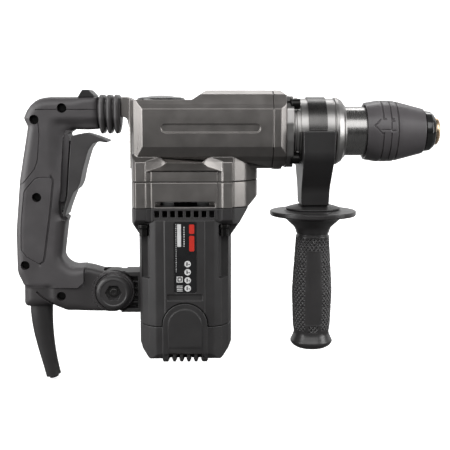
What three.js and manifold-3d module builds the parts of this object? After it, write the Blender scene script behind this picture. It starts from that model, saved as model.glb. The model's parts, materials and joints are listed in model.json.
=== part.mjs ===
// A corded rotary hammer with an upright motor, a damped D-handle and a clamp-on side handle.
// Millimetres. +X runs forward along the spindle, +Z is up. The origin is on the spindle axis,
// at the face of the strike pin that the end of a drill bit seats against.
import * as THREE from "three";
import { mergeVertices } from "three/addons/utils/BufferGeometryUtils.js";
import Module from "manifold-3d";

const wasm = await Module();
wasm.setup();

// ---- driving dimensions ------------------------------------------------------------------

const GAP = 0.3; // clearance between neighbouring pieces
const NOSE_X = 60; // front end of the spindle
const MOTOR_X = -175; // upright motor axis
const CRANK_X = -197; // crank axis, also the grease cap's axis
const BEVEL_X = -147; // axis of the shaft that drives the ring gear
const PIVOT = { x: -241.5, z: -148 }; // pin that the rear handle swings on
const SIDE_X = -55.5; // axis of the side handle
const CORD_X = -311.9; // where the cord leaves the rear handle

const HOUSING = { rear: -225, flange: -96, front: -84, halfWidth: 42, top: 37, lowTop: 28.6 };
const CASE_JOINT_Z = -43.6; // gear housing to intermediate housing
const MOTOR_JOINT_Z = -67.2; // intermediate housing to motor housing
const CAP_JOINT_Z = -175; // motor housing to motor cap
const BASE_Z = -207.6; // underside of the motor cap's ribs

const COLLAR_R = 30; // neck collar that the side handle clamps on
const BARREL_R = 22.6; // bare steel barrel behind the chuck
const TUBE_R = 19; // rear part of the spindle, in its bearing
const CYLINDER_R = 15; // bore that the piston and the striker run in
const SHANK_R = 5.05; // bore for a 10 mm bit shank
const SLEEVE_R = 28.2; // widest part of the chuck sleeve

const ECCENTRICITY = 11; // crank throw
const ROD_LENGTH = 70; // crank pin to wrist pin
const GEAR_MODULE = 4 / 3;
const TEETH = { pinion: 7, crank: 26, idler: 35, bevelPinion: 9, ring: 30 };
const CROWN_PINION_R = 6.84; // pitch radius of the pinion that meshes with the crown ring
const GEAR_Z = -36; // underside of the two flat gears

const GRIP_HALF = 18.5; // half the rear handle's width
const ARM_HALF = 14; // half the width of the lower arm
const TRIGGER_HALF = 17;
const GUARD_R = 40.3; // hand guard disc on the side handle

// ---- materials ---------------------------------------------------------------------------

function material(color, roughness, metalness = 0) {
  return new THREE.MeshStandardMaterial({ color, roughness, metalness });
}
const PAINT = material(0x6e6a69, 0.42, 0.55);
const PLASTIC = material(0x3b393a, 0.6);
const GRIP_PLASTIC = material(0x4a4849, 0.62);
const RUBBER = material(0x2b2a2b, 0.8);
const GLOSS = material(0x141414, 0.15);
const ALUMINIUM = material(0xb9b5b2, 0.32, 1);
const STEEL = material(0x8a8583, 0.28, 1);
const DARK_STEEL = material(0x3a3839, 0.35, 0.9);
const BLACK_STEEL = material(0x1c1b1b, 0.45, 0.7);
const COPPER = material(0xa8643a, 0.4, 0.9);
const CARBON = material(0x2a2a2c, 0.7);

// ---- solids: three.js geometry in, manifold-3d solids for joining and cutting -------------

// A closed geometry as a solid that faces outwards.
function solid(geometry) {
  const bare = geometry.index ? geometry.toNonIndexed() : geometry.clone();
  for (const name of ["normal", "uv"]) bare.deleteAttribute(name);
  const merged = mergeVertices(bare, 1e-3);
  const corners = merged.index.array;
  const kept = [];
  for (let i = 0; i < corners.length; i += 3) {
    const [a, b, c] = corners.slice(i, i + 3);
    if (a !== b && b !== c && a !== c) kept.push(a, b, c);
  }
  const vertProperties = merged.attributes.position.array;
  const build = (triVerts) =>
    new wasm.Manifold(new wasm.Mesh({ numProp: 3, vertProperties, triVerts }));
  const made = build(new Uint32Array(kept));
  return made.volume() > 0 ? made : build(new Uint32Array(kept.reverse()));
}

const join = (...solids) => solids.reduce((all, one) => all.add(one));
const cut = (body, ...tools) => tools.reduce((rest, tool) => rest.subtract(tool), body);
const common = (...solids) => solids.reduce((all, one) => all.intersect(one));
const mirrorY = (body) => body.scale([1, -1, 1]);
const bothSides = (body) => join(body, mirrorY(body));

function box([x0, x1], [y0, y1], [z0, z1]) {
  const geometry = new THREE.BoxGeometry(x1 - x0, y1 - y0, z1 - z0);
  geometry.translate((x0 + x1) / 2, (y0 + y1) / 2, (z0 + z1) / 2);
  return solid(geometry);
}

// A 2D outline. A third number on a point is the radius of its rounded corner.
function outline(points) {
  const n = points.length;
  const at = (i) => new THREE.Vector2(points[i % n][0], points[i % n][1]);
  const traced = [];
  for (let i = 0; i < n; i++) {
    const corner = at(i);
    const radius = points[i][2] || 0;
    if (!radius) {
      traced.push(corner);
      continue;
    }
    const before = at(i + n - 1).sub(corner);
    const after = at(i + 1).sub(corner);
    const half = Math.acos(before.dot(after) / (before.length() * after.length())) / 2;
    const reach = Math.min(radius / Math.tan(half), before.length() / 2.2, after.length() / 2.2);
    const enter = corner.clone().add(before.setLength(reach));
    const leave = corner.clone().add(after.setLength(reach));
    const steps = Math.min(4, Math.round(Math.sqrt(radius)));
    traced.push(...new THREE.QuadraticBezierCurve(enter, corner, leave).getPoints(steps));
  }
  return new THREE.Shape(traced.filter((point, i) => !onLine(traced, i)));
}

// Whether a traced point lies on the line through its neighbours.
function onLine(traced, i) {
  const n = traced.length;
  const [a, b, c] = [traced[(i + n - 1) % n], traced[i], traced[(i + 1) % n]];
  return Math.abs((b.x - a.x) * (c.y - a.y) - (b.y - a.y) * (c.x - a.x)) < 0.01 * a.distanceTo(c);
}

const AXES = {
  x: new THREE.Vector3(1, 0, 0),
  y: new THREE.Vector3(0, 1, 0),
  z: new THREE.Vector3(0, 0, 1),
};
// Which way an outline's own x, y and thickness run: plan (XY), side (XZ) and front (YZ) views.
const VIEWS = {
  plan: new THREE.Matrix4().makeBasis(AXES.x, AXES.y, AXES.z),
  side: new THREE.Matrix4().makeBasis(AXES.x, AXES.z, AXES.y.clone().negate()),
  front: new THREE.Matrix4().makeBasis(AXES.y, AXES.z, AXES.x),
};

// An outline drawn in a view and given thickness between two positions across that view.
function prism(view, points, from, to) {
  const options = { depth: to - from, bevelEnabled: false };
  const geometry = new THREE.ExtrudeGeometry(outline(points), options);
  geometry.translate(0, 0, view === "side" ? -to : from);
  return solid(geometry.applyMatrix4(VIEWS[view]));
}

// Turns a profile of [position along the axis, radius] about an axis through `centre`.
function turned(axis, centre, profile, segments = 20) {
  const points = profile.map(([along, radius]) => new THREE.Vector2(radius, along));
  const closed = profile[0][1] > 0 || profile.at(-1)[1] > 0;
  if (closed) points.push(points[0].clone());
  const geometry = new THREE.LatheGeometry(points, segments);
  if (axis === "x") geometry.rotateZ(-Math.PI / 2);
  if (axis === "z") geometry.rotateX(Math.PI / 2);
  return solid(geometry.translate(...centre));
}

const rod = (axis, centre, radius, from, to, segments = 20) =>
  turned(axis, centre, [[from, 0], [from, radius], [to, radius], [to, 0]], segments);
const ring = (axis, centre, inner, outer, from, to, segments = 20) =>
  turned(axis, centre, [[from, inner], [from, outer], [to, outer], [to, inner]], segments);

// A round bar swept along a curve.
function swept(curve, radius, steps, sides = 8) {
  const section = new THREE.Shape();
  for (let i = 0; i < sides; i++) {
    const angle = (i / sides) * 2 * Math.PI;
    const [x, y] = [radius * Math.cos(angle), radius * Math.sin(angle)];
    if (i) section.lineTo(x, y);
    else section.moveTo(x, y);
  }
  section.closePath();
  return solid(new THREE.ExtrudeGeometry(section, { steps, bevelEnabled: false, extrudePath: curve }));
}

// A coil spring about a line along X.
class Helix extends THREE.Curve {
  constructor(radius, turns, from, to, z = 0) {
    super();
    Object.assign(this, { radius, turns, from, to, z });
  }
  getPoint(t, target = new THREE.Vector3()) {
    const angle = 2 * Math.PI * this.turns * t;
    const { radius, from, to, z } = this;
    return target.set(from + (to - from) * t, radius * Math.cos(angle), z + radius * Math.sin(angle));
  }
}

// A toothed disc about Z. Teeth are narrowed for backlash; `turn` is in tooth pitches.
function gear(x, teeth, pitchRadius, from, to, turn = 0) {
  const pitch = (2 * Math.PI) / teeth;
  const addendum = 0.85 * GEAR_MODULE;
  const shape = [];
  for (let i = 0; i < teeth; i++) {
    const middle = (i + turn) * pitch;
    const flank = [[-0.3, -1.15], [-0.13, 1], [0.13, 1], [0.3, -1.15]];
    for (const [share, height] of flank) {
      const r = pitchRadius + height * addendum;
      shape.push([x + r * Math.cos(middle + share * pitch), r * Math.sin(middle + share * pitch)]);
    }
  }
  return prism("plan", shape, from, to);
}

const group = new THREE.Group();

// Adds a named piece. Its mesh holds the solid's faces in place.
function piece(name, look, body) {
  const mesh = body.getMesh();
  const positions = new Float32Array(mesh.numVert * 3);
  for (let i = 0; i < mesh.numVert; i++) {
    positions.set(mesh.vertProperties.subarray(i * mesh.numProp, i * mesh.numProp + 3), i * 3);
  }
  const geometry = new THREE.BufferGeometry();
  geometry.setAttribute("position", new THREE.BufferAttribute(positions, 3));
  geometry.setIndex(new THREE.BufferAttribute(mesh.triVerts, 1));
  geometry.computeVertexNormals();
  const made = new THREE.Mesh(geometry, look);
  made.name = name;
  group.add(made);
}

// ---- gear housing, intermediate housing, motor housing and cap -----------------------------

// Cross-section shared by the gear housing and the front flange, one half from top to bottom.
const SECTION_HALF = [
  [24, 37, 2], [31.5, 33.5, 2], [38, 24.5, 2], [42, 20.5], [42, -13, 1.5], [36, -22], [22, -33, 3],
];
const mirroredX = (half) => [...half, ...half.map(([y, ...rest]) => [-y, ...rest]).reverse()];

// Plan of the gearbox above the motor: corner bosses, a bulged wall between them and a round nose.
const CASE_PLAN_HALF = [
  [HOUSING.rear, 31, 3], [-219, 39.5, 2], [-207.5, 41.5, 1.5], [-206, 39], [-204, 40], [-190, 43.4, 30],
  [-160, 43.4, 30], [-145, 40], [-143.5, 39], [-142, 41.5, 1.5], [-133, 41.5, 1.5], [-132.5, 35],
  [-121, 28, 12], [-108.5, 12, 8],
];
const mirroredY = (half) => [...half, ...half.map(([x, y, ...rest]) => [x, -y, ...rest]).reverse()];
const casePlan = (from, to) => prism("plan", mirroredY(CASE_PLAN_HALF), from, to);

// Cross-section of the motor body: a flat label face, two facets each side and screw flutes.
const MOTOR_HALF = 43.5;
function motorPlan(scale = 1) {
  const corner = [[17, 44], [30, 40.5, 2], [38.5, 33, 3], [43.5, 20, 6]];
  const quarter = corner.map(([x, y, r]) => [x * scale, y * scale, r]);
  const half = [...quarter.map(([x, y, r]) => [-x, y, r]).reverse(), ...quarter];
  return mirroredY(half.map(([x, y, r]) => [MOTOR_X + x, y, r]));
}

const BOSS_X = [-212.5, -137.5]; // motor screw axes
const BOSS_Y = 34;

// One upright rod on each of the four motor screw axes.
const motorScrewRods = (radius, from, to, sides) =>
  BOSS_X.flatMap((x) => [-1, 1].map((side) => rod("z", [x, side * BOSS_Y, 0], radius, from, to, sides)));

function gearHousing() {
  const side = [
    [HOUSING.rear, -24], [HOUSING.rear, 6, 12], [-226, 13], [-233, 14, 1], [-233, 31, 3], [-226, 31, 2],
    [-222, HOUSING.lowTop, 2], [-167, HOUSING.lowTop, 3], [-156, HOUSING.top, 3], [HOUSING.flange, HOUSING.top],
    [HOUSING.flange, -40], [-226, -40],
  ];
  const plan = [[HOUSING.rear - 8, 17], [-224, 17], [-220.5, 34], [-211.5, 42], [HOUSING.flange, 42]];
  const upper = common(
    prism("front", mirroredX(SECTION_HALF), HOUSING.rear - 8, HOUSING.flange),
    prism("side", side, -50, 50),
    prism("plan", mirroredY(plan), -45, 45),
  );
  // The sloping shelf between the bosses, wider at its foot than at its top.
  const shelf = common(
    prism("front", [[-60, -34], [-44.5, -34], [-37, -25], [-37, -20], [-60, -20]], -210, -140),
    prism("side", [[-205, -34.5], [-198, -24], [-198, -18], [-152, -18], [-152, -24], [-145, -34.5]], -60, -30),
  );
  const lower = cut(casePlan(CASE_JOINT_Z, -22), shelf, mirrorY(shelf));
  const slot = prism("side", [[-195, 0, 3.7], [-195, 7.4, 3.7], [-108, 7.4, 3.7], [-108, 0, 3.7]], -43, -40.4);
  const cavity = join(
    box([-216.5, -150], [-34, 34], [CASE_JOINT_Z - 1, -14]),
    box([-218.5, -150], [-26, 26], [-15, 22]),
    rod("x", [0, 0, 0], 28, -151, -100),
    rod("z", [BEVEL_X, 0, 0], 27, CASE_JOINT_Z - 1, -20),
    rod("x", [0, 0, 0], 23.2, -101, -95),
    rod("z", [CRANK_X, 0, 0], 19, 20, 32, 24),
  );
  const springSocket = rod("x", [0, 0, 22], 7, -234, -221.5, 14);
  const selectorHole = rod("y", [CRANK_X + 34, 0, 2], 6, 20, 44, 14);
  const openings = [slot, mirrorY(slot), cavity, springSocket, selectorHole];
  return cut(join(upper, lower), ...openings, ...motorScrewRods(2.6, -50, -30, 8));
}

const PLUG_X = -90.2; // detent plug under the front flange

// The four screws that hold the neck, at the corners of its flange.
const NOSE_SCREWS = [[-24, 25], [24, 25], [-24, -24], [24, -24]];

function frontFlange() {
  const plan = [[HOUSING.flange + GAP, 42], [-89, 42], [HOUSING.front, 37.5]];
  const side = [
    [HOUSING.flange + GAP, -40], [HOUSING.flange + GAP, 40], [-89, HOUSING.top],
    [HOUSING.front, 33.5], [HOUSING.front, -29.5], [-89, -33], [-89, -40],
  ];
  const body = common(
    prism("front", mirroredX(SECTION_HALF), HOUSING.flange + GAP, HOUSING.front),
    prism("side", side, -50, 50),
    prism("plan", mirroredY(plan), -45, 45),
  );
  const screws = NOSE_SCREWS.map(([y, z]) => rod("x", [0, y, z], 2.9, -100, -80, 8));
  return cut(body, rod("x", [0, 0, 0], 23.2, -100, -80), rod("z", [PLUG_X, 0, 0], 3.2, -36, -26, 12), ...screws);
}

function barrelHousing() {
  const neck = turned("x", [0, 0, 0], [
    [-84 + GAP, 23.5], [-84 + GAP, 31], [-75, 31], [-73, 29], [-71, COLLAR_R], [-39, COLLAR_R], [-37, 28.6],
    [-31, 28], [-28, 25], [-28, 23.2], [-43, 23.2], [-43, 26.2], [-70, 26.2], [-70, 23.5],
  ], 28);
  const flange = [[20, 31.5, 2], [31, 20, 3], [33.5, 8, 4], [33.5, -8, 4], [31, -20, 3], [20, -31, 2]];
  const pad = prism("front", mirroredX(flange), -84 + GAP, -75.5);
  const bore = rod("x", [0, 0, 0], 24, -90, -70);
  const screws = NOSE_SCREWS.flatMap(([y, z]) => [
    rod("x", [0, y, z], 2.9, -90, -70, 8),
    rod("x", [0, y, z], 5.6, -80, -70, 12),
  ]);
  return cut(join(neck, cut(pad, bore)), ...screws);
}

function intermediateHousing() {
  const top = CASE_JOINT_Z - GAP;
  const side = [[-230, top], [-100, top], [-108.5, -58], [-117, MOTOR_JOINT_Z], [-230, MOTOR_JOINT_Z]];
  const shell = common(casePlan(MOTOR_JOINT_Z, top), prism("side", side, -50, 50));
  const fanRoom = rod("z", [MOTOR_X, 0, 0], 37, MOTOR_JOINT_Z - 1, -53, 28);
  const bearingBoss = ring("z", [MOTOR_X, 0, 0], 13.3, 17, -62, -52.5);
  const outlet = prism("side", [[-202, -66.8], [-202, -61.5, 2], [-149, -61.5, 2], [-149, -66.8]], 30, 50);
  const shaftHoles = [
    rod("z", [MOTOR_X, 0, 0], 13.3, -64, -50),
    rod("z", [MOTOR_X, 0, 0], 8, -55, -40, 14),
    rod("z", [CRANK_X, 0, 0], 6.4, -51, -40, 14),
    rod("z", [BEVEL_X, 0, 0], 5.4, -51, -40, 14),
  ];
  const screws = motorScrewRods(2.6, -80, -40, 8);
  return cut(join(cut(shell, fanRoom), bearingBoss), outlet, mirrorY(outlet), ...shaftHoles, ...screws);
}

// The bracket on the motor housing that carries the handle's pivot, an I-beam with ribs.
function pivotBracket() {
  const side = [[-210, -130], [-236.5, -130], [-240, -136], [-240, -160], [-236.5, -168], [-210, -168]];
  const beam = prism("side", side, -ARM_HALF, ARM_HALF);
  const pocket = box([-245, -218], [-20, -4], [-164.6, -133.7]);
  const ribs = [-141, -150, -159].map((z) => box([-226, -217], [-10, -3], [z - 0.9, z + 0.9]));
  const web = join(cut(beam, pocket), ...ribs);
  const ears = ring("y", [PIVOT.x, 0, PIVOT.z], 0, 20.8, -30, -8.3, 28);
  const tongue = rod("y", [PIVOT.x, 0, PIVOT.z], 13, -8, 8);
  const arm = cut(web, mirrorY(pocket), ears, mirrorY(ears));
  const farRibs = mirrorY(join(...ribs.map((rib) => cut(rib, ears))));
  const bore = rod("y", [PIVOT.x, 0, PIVOT.z], 5.4, -30, 30, 14);
  return cut(join(arm, farRibs, tongue), bore);
}

function motorHousing() {
  const top = MOTOR_JOINT_Z - GAP;
  const flangeSide = [
    [-226, top], [-114.8, top], [-125.4, -81], [-134.5, -94], [-214.5, -94], [-221, -85], [-226, -80],
  ];
  const flange = common(casePlan(-94, top), prism("side", flangeSide, -50, 50));
  const trimmed = common(flange, prism("plan", mirroredY([[-226, 42.2], [-100, 42.2]]), -100, -60));
  const body = prism("plan", motorPlan(), CAP_JOINT_Z, -80);
  const flutes = motorScrewRods(6.2, -131, -84.6, 10);
  const arch = (radius) => join(
    rod("y", [MOTOR_X, 0, CAP_JOINT_Z], radius, 38, 50),
    box([MOTOR_X - radius, MOTOR_X + radius], [38, 50], [CAP_JOINT_Z - 5, CAP_JOINT_Z]),
  );
  const labelStep = box([MOTOR_X - 17, MOTOR_X + 17], [-46, -43.2], [-149, -146]);
  const fins = Array.from({ length: 8 }, (_, i) => {
    const x = MOTOR_X - 24.6 + i * 7;
    return box([x - 2.2, x + 2.2], [30, 50], [-75.4, -69.8]);
  });
  const screws = motorScrewRods(2.6, -98, -60, 8);
  const room = join(
    rod("z", [MOTOR_X, 0, 0], 37, -86, -60, 28),
    rod("z", [MOTOR_X, 0, 0], 33, CAP_JOINT_Z - 1, -85, 28),
  );
  return cut(
    join(trimmed, body, pivotBracket()),
    ...flutes, arch(20.6), mirrorY(arch(20.6)), labelStep, ...fins, ...fins.map(mirrorY), ...screws, room,
  );
}

function motorCap() {
  const top = CAP_JOINT_Z - GAP;
  const side = [
    [-218.6, top], [-131.4, top], [-132.5, -194.5, 3], [-142, -205.6, 4], [-208, -205.6, 4], [-217.5, -194.5, 3],
  ];
  const cup = common(prism("plan", motorPlan(), -206.5, top), prism("side", side, -50, 50));
  const frontView = [[-45, top], [45, top], [45, -196, 3], [40, -205.6, 3], [-40, -205.6, 3], [-45, -196, 3]];
  const shell = common(cup, prism("front", frontView, -230, -120));
  const tongue = common(
    join(
      rod("y", [MOTOR_X, 0, CAP_JOINT_Z], 20, 38.5, 45.2),
      box([MOTOR_X - 20, MOTOR_X + 20], [38.5, 45.2], [BASE_Z, CAP_JOINT_Z]),
    ),
    prism("front", [[38, -150], [45.2, -150], [45.2, -199, 4], [42, BASE_Z], [38, BASE_Z]], -230, -120),
  );
  const foot = box([MOTOR_X - 20, MOTOR_X + 20], [-41, 41], [BASE_Z, -204.5]);
  const slots = Array.from({ length: 5 }, (_, i) => {
    const x = MOTOR_X - 12.8 + i * 6.4;
    return box([x - 1.8, x + 1.8], [35, 50], [BASE_Z - 1, -200.5]);
  });
  const room = rod("z", [MOTOR_X, 0, 0], 33, -203, top + 1, 28);
  const bearingSeat = ring("z", [MOTOR_X, 0, 0], 11.3, 15, -204, -191);
  const hollow = cut(join(shell, tongue, mirrorY(tongue), foot), room, ...slots, ...slots.map(mirrorY));
  return join(hollow, bearingSeat);
}

piece("gear_housing", PAINT, gearHousing());
piece("front_flange", PAINT, frontFlange());
piece("barrel_housing", ALUMINIUM, barrelHousing());
piece("intermediate_housing", PAINT, intermediateHousing());
piece("motor_housing", PLASTIC, motorHousing());
piece("motor_cap", PLASTIC, motorCap());

// ---- fixed small pieces on the housings ---------------------------------------------------

BOSS_X.forEach((x, i) => {
  [-1, 1].forEach((s, j) => {
    const centre = [x, s * BOSS_Y, 0];
    const head = rod("z", centre, 4.2, -92.5, -84.9, 14);
    const socket = rod("z", centre, 2.2, -94, -89.5, 6);
    const shank = rod("z", centre, 2.2, -86, -52, 8);
    piece(`motor_screw_${2 * i + j + 1}`, BLACK_STEEL, join(cut(head, socket), shank));
  });
});

NOSE_SCREWS.forEach(([y, z], i) => {
  const head = cut(rod("x", [0, y, z], 4.6, -79.7, -72.5, 14), rod("x", [0, y, z], 2.3, -75.5, -70, 6));
  piece(`nose_screw_${i + 1}`, BLACK_STEEL, join(head, rod("x", [0, y, z], 2.5, -95, -79, 8)));
});

piece("grease_cap", GLOSS, turned("z", [CRANK_X, 0, 0], [
  [20, 0], [20, 18.5], [HOUSING.lowTop + GAP, 18.5], [HOUSING.lowTop + GAP, 21.9], [30.4, 21.9], [32.4, 12], [32.4, 0],
], 24));

piece("detent_plug", BLACK_STEEL, turned("z", [PLUG_X, 0, 0], [
  [-34.8, 0], [-34.8, 4.6], [-33.3, 4.9], [-33.3, 2.9], [-28, 2.9], [-28, 0],
], 14));

piece("stator", STEEL, ring("z", [MOTOR_X, 0, 0], 26, 32.6, -155, -100, 24));
piece("armature_bearing_top", STEEL, ring("z", [MOTOR_X, 0, 0], 5.3, 13, -61.5, -55.3, 20));
piece("armature_bearing_bottom", STEEL, ring("z", [MOTOR_X, 0, 0], 4.3, 11, -200, -193, 20));
piece("spindle_bearing", STEEL, ring("x", [0, 0, 0], TUBE_R + GAP, 25.9, -69.7, -60, 24));
piece("neck_seal", RUBBER, ring("x", [0, 0, 0], BARREL_R + GAP, 25.9, -47.5, -43 - GAP, 24));
for (const [name, side] of [["brush_front", 1], ["brush_rear", -1]]) {
  const x = [MOTOR_X + side * 13.5, MOTOR_X + side * 27].sort((a, b) => a - b);
  piece(name, CARBON, box(x, [-4, 4], [-172, -162]));
}

// ---- armature, crank, idler shaft and ring gear ----------------------------------------------

function armature() {
  const shaft = turned("z", [MOTOR_X, 0, 0], [[-199, 0], [-199, 4], [-174, 4], [-174, 12], [-160, 12], [-160, 6],
    [-152, 6], [-152, 25], [-103, 25], [-103, 6], [-88, 5], [-38, 5], [-38, 0]], 16);
  return join(shaft, gear(MOTOR_X, TEETH.pinion, GEAR_MODULE * TEETH.pinion / 2, -39, GEAR_Z + 9));
}

function fan() {
  const hub = ring("z", [MOTOR_X, 0, 0], 5.3, 11, -84, -66, 20);
  const plate = ring("z", [MOTOR_X, 0, 0], 10, 35, -70, -68, 24);
  const blades = Array.from({ length: 7 }, (_, i) =>
    box([12, 34], [-0.8, 0.8], [-80, -69]).rotate([0, 0, (i * 360) / 7]).translate([MOTOR_X, 0, 0]));
  return join(hub, plate, ...blades);
}

// The crank's pin stands forward at rest, at the front end of the stroke. It stops just under the rod.
function crankGear() {
  const wheel = gear(CRANK_X, TEETH.crank, GEAR_MODULE * TEETH.crank / 2, GEAR_Z, GEAR_Z + 8);
  const shaft = rod("z", [CRANK_X, 0, 0], 6, -50, GEAR_Z + 1, 14);
  const web = rod("z", [CRANK_X, 0, 0], 15, GEAR_Z + 7, -14, 24);
  const pin = rod("z", [CRANK_X + ECCENTRICITY, 0, 0], 4, -15, -4.6, 14);
  return join(wheel, shaft, web, pin);
}

function bevelShaft() {
  const wheel = gear(BEVEL_X, TEETH.idler, GEAR_MODULE * TEETH.idler / 2, GEAR_Z, GEAR_Z + 8);
  const shaft = rod("z", [BEVEL_X, 0, 0], 5, -50, -27, 14);
  return join(wheel, shaft, gear(BEVEL_X, TEETH.bevelPinion, CROWN_PINION_R, -28.5, -20.5));
}

function ringGear() {
  const disc = ring("x", [0, 0, 0], TUBE_R + GAP, 26, -137.5, -131, 24);
  const teeth = Array.from({ length: TEETH.ring }, (_, i) =>
    box([-140.6, -137], [-0.75, 0.75], [20, 25.6]).rotate([(i + 0.5) * (360 / TEETH.ring), 0, 0]));
  return join(disc, ...teeth);
}

piece("armature", STEEL, armature());
piece("fan", PLASTIC, fan());
piece("crank_gear", DARK_STEEL, crankGear());
piece("bevel_shaft", DARK_STEEL, bevelShaft());
piece("ring_gear", DARK_STEEL, ringGear());

// ---- hammer mechanism and spindle ----------------------------------------------------------

const WRIST_X = CRANK_X + ECCENTRICITY + ROD_LENGTH;
const BALL_X = 24;
const BALL_R = 3.4;

function spindle() {
  const body = turned("x", [0, 0, 0], [
    [-137, CYLINDER_R], [-137, TUBE_R], [-47, TUBE_R], [-45, BARREL_R], [1, BARREL_R], [3, 11],
    [56.3, 11], [56.3, 12.8], [58, 12.8], [NOSE_X, 10.5], [NOSE_X, 7], [57, SHANK_R],
    [-10, SHANK_R], [-12, 9.6], [-34, 9.6], [-38, CYLINDER_R],
  ], 28);
  const windows = [-1, 1].map((s) => rod("y", [BALL_X, 0, 0], BALL_R + 0.25, s * 8.5 - 6, s * 8.5 + 6, 12));
  return cut(body, ...windows);
}

piece("spindle", STEEL, spindle());
[-1, 1].forEach((side, i) => {
  const ball = new THREE.SphereGeometry(BALL_R, 10, 7).translate(BALL_X, side * 7.5, 0);
  piece(`lock_ball_${i + 1}`, STEEL, solid(ball));
});

piece("chuck_sleeve", GRIP_PLASTIC, turned("x", [0, 0, 0], [
  [-9, 24], [-9, 26], [2, SLEEVE_R], [16, SLEEVE_R], [45, 20.3], [45, 14.4], [32, 14.4], [23.5, 11.5], [16, 11.5],
  [16, 23.2], [8, 24],
], 32));
piece("dust_cap", GLOSS, turned("x", [0, 0, 0], [
  [45.6, 11.4], [45.6, 18.9], [52, 18], [54.5, 15.8], [56, 13.6], [56, 11.4],
], 24));
piece("sleeve_spring", STEEL, swept(new Helix(16, 3, 5, 14), 0.9, 24, 5));

piece("strike_pin", STEEL, turned("x", [0, 0, 0], [
  [-34, 0], [-34, 7], [-31, 9.2], [-13.2, 9.2], [-11.2, 4.7], [0, 4.7], [0, 0],
], 20));
piece("striker", STEEL, turned("x", [0, 0, 0], [
  [-88, 0], [-88, 14.6], [-58, 14.6], [-55, 7], [-46, 7], [-46, 0],
], 24));

function piston() {
  const cup = turned("x", [0, 0, 0], [
    [WRIST_X - 10, 12], [WRIST_X - 10, 14.6], [WRIST_X + 17, 14.6],
    [WRIST_X + 17, 0], [WRIST_X + 11, 0], [WRIST_X + 11, 12],
  ], 24);
  return cut(cup, rod("z", [WRIST_X, 0, 0], 3.5, -20, 20, 14));
}

function connectingRod() {
  const start = CRANK_X + ECCENTRICITY;
  const bigEnd = rod("z", [start, 0, 0], 9, -4, 4, 20);
  const smallEnd = rod("z", [WRIST_X, 0, 0], 6, -4, 4, 14);
  const shank = box([start, WRIST_X], [-3.5, 3.5], [-3, 3]);
  const wristPin = rod("z", [WRIST_X, 0, 0], 3, -13.4, 13.4, 14);
  return join(cut(join(bigEnd, shank), rod("z", [start, 0, 0], 4.4, -5, 5, 14)), smallEnd, wristPin);
}

piece("piston", ALUMINIUM, piston());
piece("connecting_rod", STEEL, connectingRod());

function modeKnob() {
  const centre = [CRANK_X + 34, 0, 2];
  const dial = turned("y", centre, [[42 + GAP, 0], [42 + GAP, 17], [46, 16], [46, 0]], 24);
  const thumb = box([centre[0] - 14, centre[0] + 14], [45, 53], [-1.5, 5.5]);
  return join(dial, thumb, rod("y", centre, 5.6, 30, 43, 14));
}
piece("mode_knob", PLASTIC, modeKnob());

// ---- side handle ----------------------------------------------------------------------------

function clampBand() {
  const loop = ring("x", [0, 0, 0], COLLAR_R + GAP, COLLAR_R + 1.5, SIDE_X - 7.5, SIDE_X + 8.5, 32);
  const tails = bothSides(box([SIDE_X - 7.5, SIDE_X + 8.5], [30.3, 31.5], [-30, 0]));
  return join(cut(loop, box([-80, -30], [-50, 50], [-50, 0])), tails);
}

function yoke() {
  const front = [[43.5, 1, 2], [43.5, -22, 14], [19.5, -52, 14], [17, -68]];
  const side = [[-69.5, 2], [-40.5, 2], [-42.8, -68], [-68.4, -68]];
  const body = common(prism("front", mirroredX(front), -80, -30), prism("side", side, -50, 50));
  const baseProfile = [[-72.5, 0], [-72.5, 26.2], [-70.5, 26.2], [-67.5, 21], [-67.5, 0]];
  const base = turned("z", [SIDE_X, 0, 0], baseProfile, 28);
  const saddle = rod("x", [0, 0, 0], COLLAR_R + GAP, -80, -30, 32);
  const bandSlot = bothSides(box([SIDE_X - 8, SIDE_X + 9], [30, 32.2], [-31, 2]));
  const bandRoom = ring("x", [0, 0, 0], 20, COLLAR_R + 2, SIDE_X - 8, SIDE_X + 9, 32);
  const boltHole = rod("z", [SIDE_X, 0, 0], 4.4, -80, -20, 14);
  const headPocket = box([SIDE_X - 7.3, SIDE_X + 7.3], [-4.2, 4.2], [-37.3, -29]);
  return cut(join(body, base), saddle, bandSlot, bandRoom, boltHole, headPocket);
}

function teeBolt() {
  const head = box([SIDE_X - 7, SIDE_X + 7], [-3.8, 3.8], [-37, -33.5]);
  return join(rod("z", [SIDE_X, 0, 0], 4, -140, -34, 12), head);
}

function grip() {
  const body = turned("z", [SIDE_X, 0, 0], [
    [-204.8, 0], [-204.8, 14.5], [-199, 19.9], [-191, 16], [-185, 17.2], [-150, 18.5], [-97, 14.8], [-85, 18.5],
    [-79, 30], [-77.5, GUARD_R], [-74, GUARD_R], [-73, 28], [-73, 0],
  ], 28);
  return cut(body, rod("z", [SIDE_X, 0, 0], 4.4, -142, -70, 14));
}

piece("clamp_band", DARK_STEEL, clampBand());
piece("yoke", PLASTIC, yoke());
piece("tee_bolt", STEEL, teeBolt());
piece("grip", RUBBER, grip());

// ---- rear handle ------------------------------------------------------------------------------

const HANDLE = [
  [-250, 31.3], [-303, 31.3, 20], [-318, 21, 8], [-321.6, 12, 8], [-317.3, 3, 6], [-326.5, -44, 60],
  [-331.3, -92, 60], [-331, -130, 20], [-326.4, -141, 8], [-327, -163.2, 6], [-298, -161.5, 4],
  [-286, -166.8, 12], [PIVOT.x, -167.5], [PIVOT.x, -129.8], [-281, -125.2, 12], [-290, -118, 12], [-285.5, -84, 10],
  [-281, -78], [-283, -3.2, 3], [-263, 0.6, 8], [-250, 2.2],
];
// Where the shells step in at the sides so that the trigger can close over them.
const CORE = [[-270, 0.8], [-283, 0.8, 5], [-291, -22, 10], [-297, -84, 5], [-284, -86, 2], [-270, -86]];
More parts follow.
